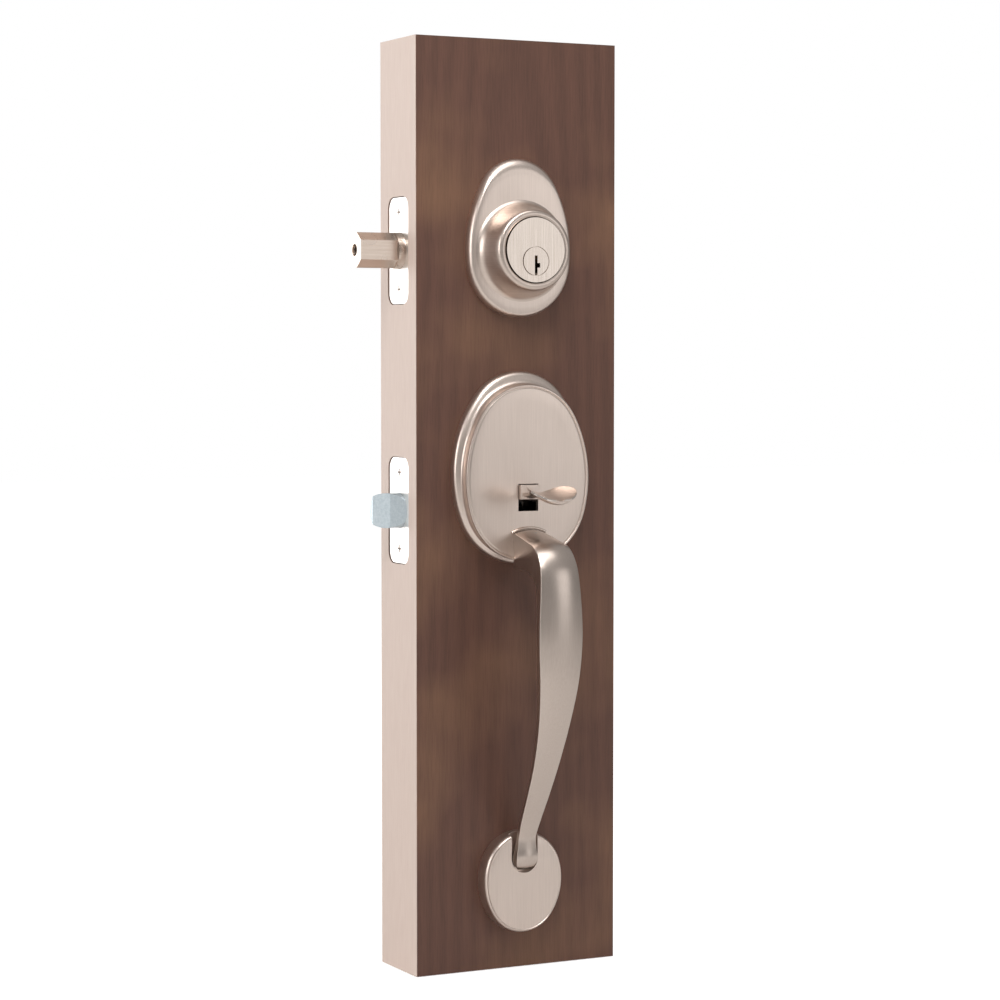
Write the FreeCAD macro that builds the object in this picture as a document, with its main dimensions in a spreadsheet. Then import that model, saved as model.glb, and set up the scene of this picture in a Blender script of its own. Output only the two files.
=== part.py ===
import FreeCAD, Part
import math
import os
import re
import Sketcher

# Entry lock set on a wooden sample block: a single-cylinder deadbolt above a thumb latch with a pull grip.
# +Z is up, the outside of the door faces -Y and the lock edge faces -X.
# The origin is on the block's bottom face, under the lock axes and in the middle of its thickness.

SIZES = {
    # Door block and the standard preparation for the locks
    "door_width": 120.65, "door_thickness": 44.45, "door_height": 503.0, "backset": 60.325,
    "bolt_height": 389.7, "latch_height": 250.0, "bore_radius": 27.0, "edge_bore_radius": 12.7,
    "foot_height": 61.0, "foot_hole_radius": 5.2,
    # Plates let into the lock edge
    "plate_width": 25.4, "plate_height": 57.15, "plate_corner": 6.35, "plate_thick": 2.4,
    "backplate_thick": 1.0, "plate_recess": 0.6, "mortise_gap": 0.35,
    "plate_screw_rise": 20.65, "plate_screw_radius": 2.0, "plate_screw_length": 19.0, "plate_head_radius": 3.9,
    # Through screws, the same pattern for both locks
    "screw_side": 11.25, "screw_rise": 19.5, "screw_radius": 2.0, "screw_head_radius": 3.7,
    "screw_head_height": 2.2, "post_radius": 3.6, "post_depth": 12.0, "screw_reach": 5.0,
    # Clearances
    "running_gap": 0.05, "loose_gap": 0.4,
    # Deadbolt rose
    "bolt_rose_half": 31.0, "bolt_rose_top": 49.6, "bolt_rose_bottom": 35.8, "bolt_rose_side": 75.0,
    "bolt_rose_edge": 2.5, "bolt_rose_depth": 6.0, "bolt_rose_slope": 2.4, "bolt_rose_crown": 6.8,
    "bolt_rose_wall": 2.2,
    # Cylinder, its collar and the plug, whose axis is below the bolt's
    "collar_base": 26.0, "collar_rim": 21.0, "collar_depth": 22.0, "collar_neck": 24.0,
    "cylinder_radius": 17.3, "cylinder_front": 22.7, "cylinder_back": 6.0, "flange_radius": 18.6,
    "flange_front": 7.0, "flange_thick": 3.0, "ring_radius": 19.6, "ring_thick": 1.2,
    "plug_drop": 6.0, "plug_radius": 6.35, "plug_head_radius": 7.5, "plug_head_thick": 1.5,
    "plug_stub_radius": 5.0, "plug_stub_length": 3.2, "key_slot_half": 0.8,
    "pin_radius": 1.45, "pin_pitch": 3.81, "first_pin": 6.3, "driver_length": 5.0, "spring_wire": 0.22,
    "chamber_top": 14.2, "cover_thick": 1.0, "cover_half": 2.6,
    "clip_radius": 8.0, "clip_thick": 2.2,
    "blade_half": 3.0, "blade_thick": 2.5,
    # Deadbolt and its case
    "bolt_throw": 25.4, "bolt_radius": 9.8, "bolt_half_width": 8.3, "bolt_face_half": 5.2,
    "bolt_half_height": 9.4, "bolt_ridge_half": 2.7, "bolt_round_length": 3.5, "bolt_body_length": 15.0,
    "hard_pin_radius": 3.2, "hard_pin_recess": 1.5,
    "tube_radius": 11.3, "tube_wall": 1.1, "case_plate": 1.2, "case_gap": 5.4,
    "fork_inner": 2.2, "fork_outer": 4.2, "crank_thick": 3.0, "crank_width": 5.0, "crank_pin_radius": 2.0,
    "hub_radius": 5.5, "hub_half_length": 7.5, "slot_side_gap": 0.8, "crank_pin_proud": 0.6,
    "fork_reach": 5.3, "fork_rim": 1.7, "fork_lift": 1.5, "fork_web_top": 8.5, "fork_web_share": 0.76,
    "hard_pin_depth": 8.0, "case_below": 12.0, "case_above": 17.0, "case_shoulder": 3.0,
    "case_strip_half": 9.0, "case_lap": 1.0, "bridge_top": 0.4, "blade_gap": 0.1,
    # Thumbturn inside
    "turn_rose_radius": 36.0, "turn_rose_depth": 8.0, "rose_wall": 1.4, "inside_plate_thick": 1.5,
    "turn_stem_radius": 6.0, "turn_paddle_half": 19.0, "turn_paddle_width": 11.0, "turn_paddle_depth": 15.0,
    # Handle rose
    "rose_half": 39.8, "rose_centre": 20.0, "rose_top": 55.0, "rose_bottom": 49.0, "rose_side": 70.0,
    "rose_edge": 5.0, "rose_depth": 14.0, "panel_half": 36.9, "panel_centre": 17.6, "panel_top": 50.3,
    "panel_bottom": 45.1, "rose_wall_side": 3.6, "rose_front": 3.0,
    # Thumbpiece and what it lifts
    "slot_half": 6.0, "slot_bottom": -0.1, "slot_top": 14.6, "pivot_rise": 8.0, "pivot_out": 7.0,
    "pivot_radius": 1.45, "barrel_radius": 3.2, "stem_half": 5.5, "stem_low": 6.2, "stem_high": 13.6,
    "ear_thick": 3.0, "ear_half": 3.6, "pin_proud": 2.6,
    "tail_half": 4.0, "tail_drop": 2.0, "tail_rise": 1.0, "tail_near": 4.3, "tail_far": 7.8,
    "finger_near": 6.0, "finger_far": 11.4, "finger_left": 6.5, "finger_right": 11.0, "finger_drop": 7.7,
    "finger_thick": 2.0, "lever_near": 8.7, "lever_far": 10.7, "lever_wall": 1.8, "lever_reach": 12.0,
    "lever_low": 3.0, "lever_high": 6.0,
    "press_spring_radius": 2.5, "press_spring_wire": 0.4, "press_spring_pitch": 1.1,
    # Grip and foot
    "grip_top": 229.5, "grip_foot": 61.0, "grip_reach": 54.8, "foot_half": 7.4, "foot_boss_radius": 4.5,
    "grip_screw_radius": 2.1, "grip_screw_length": 12.0, "grip_screw_head": 3.1,
    # Oval plate under the foot
    "lower_half": 23.5, "lower_centre": 49.0, "lower_top": 26.5, "lower_bottom": 28.6, "lower_side": 34.0,
    "lower_depth": 10.0, "lower_slope": 0.9, "recess_depth": 5.0, "foot_bolt_radius": 2.5,
    "foot_cover_radius": 11.0, "foot_cover_depth": 5.0,
    # Spring latch
    "latch_radius": 9.4, "latch_throw": 12.7, "latch_body_length": 13.0, "latch_bevel_inner": 15.5,
    "latch_bevel_land": 4.0, "latch_arm": 18.0, "latch_lost_motion": 0.7, "spindle_radius": 3.4,
    "latch_tube_spare": 7.0, "latch_case_shoulder": 11.6, "latch_case_half": 9.0, "latch_case_back": 16.0,
    "tail_web_length": 17.3, "tail_bar_outer": 4.4, "tail_bar_inner": 2.4, "tail_bar_low": 9.0,
    "tail_bar_high": 6.3, "tail_rim": 2.5, "hook_lip": 1.5, "half_round_drop": 1.0,
    "latch_spring_radius": 5.6, "latch_spring_wire": 0.6, "latch_spring_pitch": 2.6,
    "latch_spring_rise": 2.0,
    # Knob inside
    "knob_rose_radius": 33.0, "knob_rose_depth": 9.0, "knob_radius": 25.5, "knob_neck": 12.0,
    "knob_length": 62.0, "knob_ball_back": 14.0, "socket_near": 10.0, "socket_far": 20.0,
    "socket_wall": 3.2, "knob_spring_wire": 0.5, "knob_spring_pitch": 1.6,
}

UP = FreeCAD.Rotation()
ALONG_X = FreeCAD.Rotation(FreeCAD.Vector(0, 1, 0), 90)
ALONG_Y = FreeCAD.Rotation(FreeCAD.Vector(1, 0, 0), -90)

doc = FreeCAD.newDocument("EntryLock")
sheet = doc.addObject("Spreadsheet::Sheet", "Sizes")
for row, (alias, value) in enumerate(SIZES.items(), start=1):
    sheet.set(f"A{row}", alias)
    sheet.set(f"B{row}", str(value))
    sheet.setAlias(f"B{row}", alias)
doc.recompute()

NODES = []


def bound(formula):
    """A formula of plain size names, as an expression on the sheet."""
    return re.sub(r"[a-z_]{3,}", lambda word: "Sizes." + word[0] if word[0] in SIZES else word[0], str(formula))


def value(formula):
    """What a formula comes to with the sheet's present sizes."""
    return float(sheet.evalExpression(bound(formula)))


def outer(reach):
    """The y of a point that stands out from the door's outside face."""
    return f"(-door_thickness / 2 - ({reach}))"


def inner(reach):
    """The y of a point that stands out from the door's inside face."""
    return f"(door_thickness / 2 + ({reach}))"


def put(obj, spot, turn=UP):
    obj.Placement = FreeCAD.Placement(FreeCAD.Vector(), turn)
    for axis, formula in zip("xyz", spot):
        obj.setExpression(f"Placement.Base.{axis}", bound(formula))
    return obj


def rod(kind, radius, low, high, spot, turn):
    obj = doc.addObject("Part::Cylinder", kind)
    obj.setExpression("Radius", bound(radius))
    obj.setExpression("Height", bound(f"({high}) - ({low})"))
    return put(obj, spot, turn)


def rod_x(radius, y, z, low, high):
    return rod("RodX", radius, low, high, (low, y, z), ALONG_X)


def rod_y(radius, x, z, low, high):
    return rod("RodY", radius, low, high, (x, low, z), ALONG_Y)


def rod_z(radius, x, y, low, high):
    return rod("RodZ", radius, low, high, (x, y, low), UP)


def cone(first, second, low, high, spot, turn):
    obj = doc.addObject("Part::Cone", "Cone")
    obj.setExpression("Radius1", bound(first))
    obj.setExpression("Radius2", bound(second))
    obj.setExpression("Height", bound(f"({high}) - ({low})"))
    return put(obj, spot, turn)


def block(x, y, z):
    """A box from its low to its high value on each axis."""
    obj = doc.addObject("Part::Box", "Block")
    for side, (low, high) in zip(("Length", "Width", "Height"), (x, y, z)):
        obj.setExpression(side, bound(f"({high}) - ({low})"))
    return put(obj, (x[0], y[0], z[0]))


def join(*pieces):
    obj = doc.addObject("Part::MultiFuse", "Join")
    obj.Shapes = list(pieces)
    obj.Refine = True
    return obj


def cut(base, *tools):
    obj = doc.addObject("Part::Cut", "Cut")
    obj.Base = base
    obj.Tool = tools[0] if len(tools) == 1 else join(*tools)
    obj.Refine = True
    return obj


def common(first, second):
    obj = doc.addObject("Part::MultiCommon", "Common")
    obj.Shapes = [first, second]
    return obj


def group(*pieces):
    """Separate solids kept in one node."""
    obj = doc.addObject("Part::Compound", "Group")
    obj.Links = list(pieces)
    return obj


def node(name, obj):
    obj.Label = name
    NODES.append(obj)
    return obj


def new_body(name, spot):
    body = doc.addObject("PartDesign::Body", name)
    return put(body, spot)


def new_sketch(body, plane, offset="0"):
    """A sketch on one of the body's own origin planes, moved along the plane's normal."""
    sketch = body.newObject("Sketcher::SketchObject", "Sketch")
    support = next(item for item in body.Origin.OriginFeatures if item.Role == plane)
    sketch.AttachmentSupport = [(support, "")]
    sketch.MapMode = "FlatFace"
    sketch.setExpression("AttachmentOffset.Base.z", bound(offset))
    return sketch


def draw(sketch, corners):
    """A closed outline. A corner is (across, up), or (across, up, radius, side) where an arc leaves it."""
    spots = [FreeCAD.Vector(value(corner[0]), value(corner[1]), 0) for corner in corners]
    count = len(corners)
    for index, corner in enumerate(corners):
        start = spots[index]
        end = spots[(index + 1) % count]
        if len(corner) == 2:
            sketch.addGeometry(Part.LineSegment(start, end))
            continue
        radius = value(corner[2])
        half = (end - start) * 0.5
        away = FreeCAD.Vector(-half.y, half.x, 0).normalize() * corner[3]
        drop = math.sqrt(max(radius ** 2 - half.Length ** 2, 0.0))
        centre = start + half + away * drop
        middle = centre - away * radius
        sketch.addGeometry(Part.Arc(start, middle, end))
    for index, corner in enumerate(corners):
        geometry = sketch.Geometry[index]
        backward = geometry.StartPoint.distanceToPoint(spots[index]) > 1e-6
        begin, finish = (2, 1) if backward else (1, 2)
        following = (index + 1) % count
        nearby = sketch.Geometry[following]
        turned = nearby.StartPoint.distanceToPoint(spots[following]) > 1e-6
        sketch.addConstraint(Sketcher.Constraint("Coincident", index, finish, following, 2 if turned else 1))
        for kind, formula in (("DistanceX", corner[0]), ("DistanceY", corner[1])):
            spot = sketch.addConstraint(Sketcher.Constraint(kind, -1, 1, index, begin, value(formula)))
            sketch.setExpression(f"Constraints[{spot}]", bound(formula))
        if len(corner) == 4:
            spot = sketch.addConstraint(Sketcher.Constraint("Radius", index, value(corner[2])))
            sketch.setExpression(f"Constraints[{spot}]", bound(corner[2]))
    return sketch


def egg(half, top, bottom, side, trim="0"):
    """The corners of an egg of four arcs that meet smoothly; trim takes the same width off all round."""
    reach = f"({side} - ({half}))"

    def joint(end):
        over = f"({side} - {end})"
        middle = f"(({reach} * {reach} - {over} * {over}) / (2 * {over}))"
        slant = f"sqrt({reach} * {reach} + {middle} * {middle})"
        across = f"(({side} - {trim}) * {reach} / {slant} - {reach})"
        height = f"(({side} - {trim}) * {middle} / {slant})"
        return across, height, f"({end} - {middle} - {trim})"

    wide_top, high_top, round_top = joint(f"({top})")
    wide_low, high_low, round_low = joint(f"({bottom})")
    long_side = f"({side} - {trim})"
    return [(wide_top, high_top, round_top, 1), (f"-{wide_top}", high_top, long_side, 1),
            (f"-{wide_low}", f"-{high_low}", round_low, 1), (wide_low, f"-{high_low}", long_side, 1)]


def pad(body, sketch, length, reverse=False):
    feature = body.newObject("PartDesign::Pad", "Pad")
    feature.Profile = sketch
    feature.setExpression("Length", bound(length))
    feature.Reversed = reverse
    return feature


def loft(body, first, second):
    feature = body.newObject("PartDesign::AdditiveLoft", "Loft")
    feature.Profile = first
    feature.Sections = [second]
    feature.Ruled = True
    return feature


def turned(name, spot, profile):
    """A round piece about Y, from corners given as (along y, radius)."""
    body = new_body(name, spot)
    sketch = draw(new_sketch(body, "YZ_Plane"), profile)
    feature = body.newObject("PartDesign::Revolution", "Revolution")
    feature.Profile = sketch
    feature.ReferenceAxis = (sketch, ["H_Axis"])
    feature.Angle = 360
    return body


def coil(mean, wire, pitch, turns, spot, turn=UP):
    """A wound spring, one solid swept along its helix."""
    mean, wire, pitch = (value(str(size)) for size in (mean, wire, pitch))
    path = Part.makeHelix(pitch, pitch * turns, mean)
    section = Part.Wire(Part.makeCircle(wire, FreeCAD.Vector(mean, 0, 0), FreeCAD.Vector(0, 1, 0)))
    obj = doc.addObject("Part::Feature", "Coil")
    obj.Shape = Part.Wire(path).makePipeShell([section], True, True)
    place = FreeCAD.Vector(*[value(formula) for formula in spot])
    obj.Placement = FreeCAD.Placement(place, turn)
    return obj


# Places that several pieces share, in plain size names
EDGE = "-backset"
PLUG_AXIS = "(bolt_height - plug_drop)"
PLATE_FACE = "(-backset + plate_recess)"
PLATE_BACK = "(-backset + plate_recess + plate_thick)"
CASE_FRONT = "(-backset + plate_recess + plate_thick + backplate_thick)"
BORE_SCREWS = (("-screw_side", "-screw_rise"), ("screw_side", "screw_rise"))
PLATE_SCREWS = ("-plate_screw_rise", "plate_screw_rise")


def edge_plate(height, front, thickness, gap="0"):
    """A plate with rounded corners, upright in the lock edge."""
    half = f"(plate_width / 2 + {gap})"
    rise = f"(plate_height / 2 + {gap})"
    corner = f"(plate_corner + {gap})"
    side = f"({half} - {corner})"
    end = f"({rise} - {corner})"
    body = new_body("EdgePlate", (front, "0", height))
    corners = [(side, f"-{rise}", corner, 1), (half, f"-{end}"), (half, end, corner, 1), (side, rise),
               (f"-{side}", rise, corner, 1), (f"-{half}", end), (f"-{half}", f"-{end}", corner, 1),
               (f"-{side}", f"-{rise}")]
    pad(body, draw(new_sketch(body, "YZ_Plane"), corners), thickness)
    return body


def door_block():
    wood = block((EDGE, "door_width - backset"), ("-door_thickness / 2", "door_thickness / 2"),
                 ("0", "door_height"))
    tools = [rod_y("foot_hole_radius", "0", "foot_height", "-door_thickness", "door_thickness")]
    for height in ("bolt_height", "latch_height"):
        tools.append(rod_y("bore_radius", "0", height, "-door_thickness", "door_thickness"))
        tools.append(rod_x("edge_bore_radius", "0", height, "-backset - 1", "0"))
        tools.append(edge_plate(height, EDGE, "plate_recess + plate_thick + backplate_thick", "mortise_gap"))
        for rise in PLATE_SCREWS:
            tools.append(rod_x("plate_screw_radius + running_gap", "0", f"{height} + {rise}", EDGE,
                               "-backset + plate_screw_length + 3"))
    node("door_block", cut(wood, *tools))


def edge_set(prefix, height, opening):
    """Faceplate, backplate and their two screws, for either latch."""
    holes = [rod_x(opening, "0", height, "-backset - 1", CASE_FRONT)]
    back_holes = [rod_x(f"{opening} + running_gap", "0", height, "-backset - 1", f"{CASE_FRONT} + 1")]
    screws = []
    for rise in PLATE_SCREWS:
        spot = f"({height} + {rise})"
        holes.append(rod_x("plate_screw_radius + running_gap", "0", spot, "-backset - 1", CASE_FRONT))
        holes.append(cone("plate_head_radius + running_gap", "plate_screw_radius + running_gap", PLATE_FACE,
                          f"{PLATE_FACE} + 2", (PLATE_FACE, "0", spot), ALONG_X))
        back_holes.append(rod_x("plate_screw_radius + running_gap", "0", spot, "-backset", f"{CASE_FRONT} + 1"))
        head = cone("plate_head_radius", "plate_screw_radius", PLATE_FACE, f"{PLATE_FACE} + 2",
                    (PLATE_FACE, "0", spot), ALONG_X)
        shank = rod_x("plate_screw_radius", "0", spot, f"{PLATE_FACE} + 1", "-backset + plate_screw_length - 3")
        point = cone("plate_screw_radius", "0.2", "0", "3", ("-backset + plate_screw_length - 3", "0", spot),
                     ALONG_X)
        recess = [block((f"{PLATE_FACE} - 1", f"{PLATE_FACE} + 1.4"), ("-1.9", "1.9"),
                        (f"{spot} - 0.45", f"{spot} + 0.45")),
                  block((f"{PLATE_FACE} - 1", f"{PLATE_FACE} + 1.4"), ("-0.45", "0.45"),
                        (f"{spot} - 1.9", f"{spot} + 1.9"))]
        screws.append(cut(join(head, shank, point), *recess))
    node(f"{prefix}_faceplate", cut(edge_plate(height, PLATE_FACE, "plate_thick"), *holes))
    node(f"{prefix}_backplate", cut(edge_plate(height, PLATE_BACK, "backplate_thick"), *back_holes))
    node(f"{prefix}_plate_screws", group(*screws))


def bore_screws(name, axis, depth):
    """The two long machine screws that clamp the outside to the inside through the bore."""
    screws = []
    for side, rise in BORE_SCREWS:
        spot = f"({axis} + {rise})"
        shank = rod_y("screw_radius", side, spot, "-door_thickness / 2 + screw_reach", inner(depth))
        head = rod_y("screw_head_radius", side, spot, inner(depth), inner(f"{depth} + screw_head_height"))
        slot = block((f"{side} - 3", f"{side} + 3"), (inner(f"{depth} + 1"), inner(f"{depth} + 4")),
                     (f"{spot} - 0.5", f"{spot} + 0.5"))
        screws.append(cut(join(shank, head), slot))
    node(name, group(*screws))


def posts(axis, front):
    """Two threaded posts behind an outside casting, and the holes for their screws."""
    solid = []
    holes = []
    for side, rise in BORE_SCREWS:
        spot = f"({axis} + {rise})"
        solid.append(rod_y("post_radius", side, spot, outer(front), "-door_thickness / 2 + post_depth"))
        holes.append(rod_y("screw_radius + running_gap", side, spot, "-door_thickness / 2 + 3",
                           "-door_thickness / 2 + post_depth + 1"))
    return solid, holes


def deadbolt_outside():
    rose = new_body("BoltRose", ("0", "-door_thickness / 2", "bolt_height"))
    base = egg("bolt_rose_half", "bolt_rose_top", "bolt_rose_bottom", "bolt_rose_side")
    crown = egg("bolt_rose_half - 1.3", "bolt_rose_top - bolt_rose_crown", "bolt_rose_bottom - 1.2",
                "bolt_rose_side")
    low = draw(new_sketch(rose, "XZ_Plane"), base)
    pad(rose, low, "bolt_rose_edge")
    loft(rose, draw(new_sketch(rose, "XZ_Plane", "bolt_rose_edge"), base),
         draw(new_sketch(rose, "XZ_Plane", "bolt_rose_depth"), crown))
    hollow = new_body("BoltRoseHollow", ("0", "-door_thickness / 2 + 1", "bolt_height"))
    inside = egg("bolt_rose_half", "bolt_rose_top - bolt_rose_crown / 2", "bolt_rose_bottom",
                 "bolt_rose_side", "bolt_rose_wall")
    pad(hollow, draw(new_sketch(hollow, "XZ_Plane"), inside), "bolt_rose_depth - bolt_rose_wall + 1")
    opening = rod_y("collar_neck + 0.15", "0", "bolt_height", outer("bolt_rose_depth + 1"), outer("-1"))
    node("deadbolt_rose", cut(rose, hollow, opening))

    bore = "(cylinder_radius + 0.15)"
    seat = "(flange_radius + 0.1)"
    collar = turned("Collar", ("0", "-door_thickness / 2", "bolt_height"),
                    [("-0.3", "collar_neck"), ("-bolt_rose_depth", "collar_neck"),
                     ("-bolt_rose_depth", "collar_base"), ("-bolt_rose_depth - 1.2", "collar_base - 1"),
                     ("-collar_depth + 1", "collar_rim"), ("-collar_depth", "collar_rim - 1"),
                     ("-collar_depth", bore), ("-flange_front - 0.05", bore), ("-flange_front - 0.05", seat),
                     ("-0.3", seat)])
    solid, holes = posts("bolt_height", "1.5")
    room = rod_y(seat, "0", "bolt_height", outer("flange_front"), outer("-1"))
    groove = rod_y("ring_radius + 0.1", "0", "bolt_height", outer("flange_front - flange_thick"),
                   outer("flange_front - flange_thick - ring_thick - 0.2"))
    node("cylinder_collar", cut(join(collar, *[cut(post, room) for post in solid]), groove, *holes))

    ring = cut(rod_y("ring_radius", "0", "bolt_height", outer("flange_front - flange_thick - 0.1"),
                     outer("flange_front - flange_thick - ring_thick - 0.1")),
               rod_y("cylinder_radius + 0.2", "0", "bolt_height", outer("flange_front"), outer("0")),
               block(("-3", "3"), (outer("flange_front"), outer("0")), ("bolt_height - 30", "bolt_height")))
    node("cylinder_snap_ring", ring)


def cylinder():
    shell = join(rod_y("cylinder_radius", "0", "bolt_height", outer("cylinder_front"), outer("-cylinder_back")),
                 rod_y("flange_radius", "0", "bolt_height", outer("flange_front"),
                       outer("flange_front - flange_thick")))
    tools = [rod_y("plug_radius + running_gap", "0", PLUG_AXIS, outer("cylinder_front + 1"),
                   outer("-cylinder_back - 1")),
             rod_y("plug_head_radius + 0.1", "0", PLUG_AXIS, outer("cylinder_front + 1"),
                   outer("cylinder_front - plug_head_thick")),
             block(("-cover_half - running_gap", "cover_half + running_gap"),
                   (outer("cylinder_front - first_pin + 3"), outer("-cylinder_back - 1")),
                   ("bolt_height + chamber_top", "bolt_height + cylinder_radius + 1"))]
    plug = join(rod_y("plug_head_radius", "0", PLUG_AXIS, outer("cylinder_front + 0.2"),
                      outer("cylinder_front - plug_head_thick + running_gap")),
                rod_y("plug_radius", "0", PLUG_AXIS, outer("cylinder_front"), outer("-cylinder_back")),
                rod_y("plug_stub_radius", "0", PLUG_AXIS, outer("0"),
                      outer("-cylinder_back - plug_stub_length")))
    front, back = outer("cylinder_front + 1"), outer("-cylinder_back + 2")
    plug_tools = [block(("-key_slot_half", "key_slot_half"), (front, back),
                        (f"{PLUG_AXIS} - plug_head_radius - 1", f"{PLUG_AXIS} + 3")),
                  block(("0", "2.4"), (front, back), (f"{PLUG_AXIS} - 3.4", f"{PLUG_AXIS} - 1"))]
    keys, drivers, springs = [], [], []
    shear = f"({PLUG_AXIS} + plug_radius)"
    for index, key_length in enumerate((5.4, 6.4, 4.8, 6.0, 5.2)):
        depth = outer(f"cylinder_front - first_pin - {index} * pin_pitch")
        tools.append(rod_z("pin_radius + running_gap", "0", depth, PLUG_AXIS, "bolt_height + chamber_top + 1"))
        plug_tools.append(rod_z("pin_radius + running_gap", "0", depth, PLUG_AXIS, f"{shear} + 1"))
        foot = f"({shear} - 0.2 - {key_length})"
        keys.append(join(rod_z("pin_radius", "0", depth, f"{foot} + 1", f"{shear} - 0.2"),
                         cone("0.5", "pin_radius", "0", "1", ("0", depth, foot), UP)))
        drivers.append(rod_z("pin_radius", "0", depth, f"{shear} + 0.05", f"{shear} + 0.05 + driver_length"))
        room = value("chamber_top + plug_drop - plug_radius - driver_length - 0.05 - 2 * spring_wire - 0.1")
        springs.append(coil(value("pin_radius - spring_wire - 0.05"), value("spring_wire"), room / 7, 7,
                            ("0", depth, f"{shear} + 0.1 + driver_length + spring_wire")))
    node("cylinder_body", cut(shell, *tools))
    node("cylinder_plug", cut(plug, *plug_tools))
    node("key_pins", group(*keys))
    node("driver_pins", group(*drivers))
    node("pin_springs", group(*springs))
    node("spring_cover", block(("-cover_half", "cover_half"),
                               (outer("cylinder_front - first_pin + 2.9"), outer("-cylinder_back + 0.2")),
                               ("bolt_height + chamber_top + 0.05", "bolt_height + chamber_top + cover_thick")))
    node("plug_clip", cut(rod_y("clip_radius", "0", PLUG_AXIS, outer("-cylinder_back - 0.1"),
                                outer("-cylinder_back - 0.1 - clip_thick")),
                          rod_y("plug_stub_radius + running_gap", "0", PLUG_AXIS, outer("0"),
                                outer("-cylinder_back - 5"))))
    tail_front = outer("-cylinder_back - plug_stub_length - 0.1")
    tail_back = outer("-cylinder_back - plug_stub_length - 2.1")
    node("deadbolt_tailpiece",
         join(rod_y("plug_stub_radius - 0.4", "0", PLUG_AXIS, tail_front, tail_back),
              block(("-blade_half", "blade_half"), (tail_front, inner("5")),
                    (f"{PLUG_AXIS} - blade_thick / 2", f"{PLUG_AXIS} + blade_thick / 2"))))


def blade_hole(low, high):
    half = "(blade_thick / 2 + blade_gap)"
    return block(("-blade_half - blade_gap", "blade_half + blade_gap"), (low, high),
                 (f"{PLUG_AXIS} - {half}", f"{PLUG_AXIS} + {half}"))


def case_plates(axis, hub_rise, tube_end, shoulder, low_end, high_end, back):
    """Two side plates in the bore, narrow up to a shoulder behind the tube, and the hub's bearing."""
    hub = f"({axis} + {hub_rise})"
    walls = []
    for low, high in (("-case_gap - case_plate", "-case_gap"), ("case_gap", "case_gap + case_plate")):
        walls.append(block((f"{tube_end} - case_lap / 2", f"{tube_end} + {shoulder} + case_lap"), (low, high),
                           (f"{axis} - case_strip_half", f"{axis} + case_strip_half")))
        walls.append(block((f"{tube_end} + {shoulder}", back), (low, high),
                           (f"{axis} - {low_end}", f"{axis} + {high_end}")))
    return walls, rod_y("hub_radius + running_gap", "0", hub, "-hub_half_length - 1", "hub_half_length + 1")


def tube(axis, end):
    outside = rod_x("tube_radius", "0", axis, CASE_FRONT, end)
    return cut(outside, rod_x("tube_radius - tube_wall", "0", axis, "-backset", f"{end} + 1"))


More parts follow.
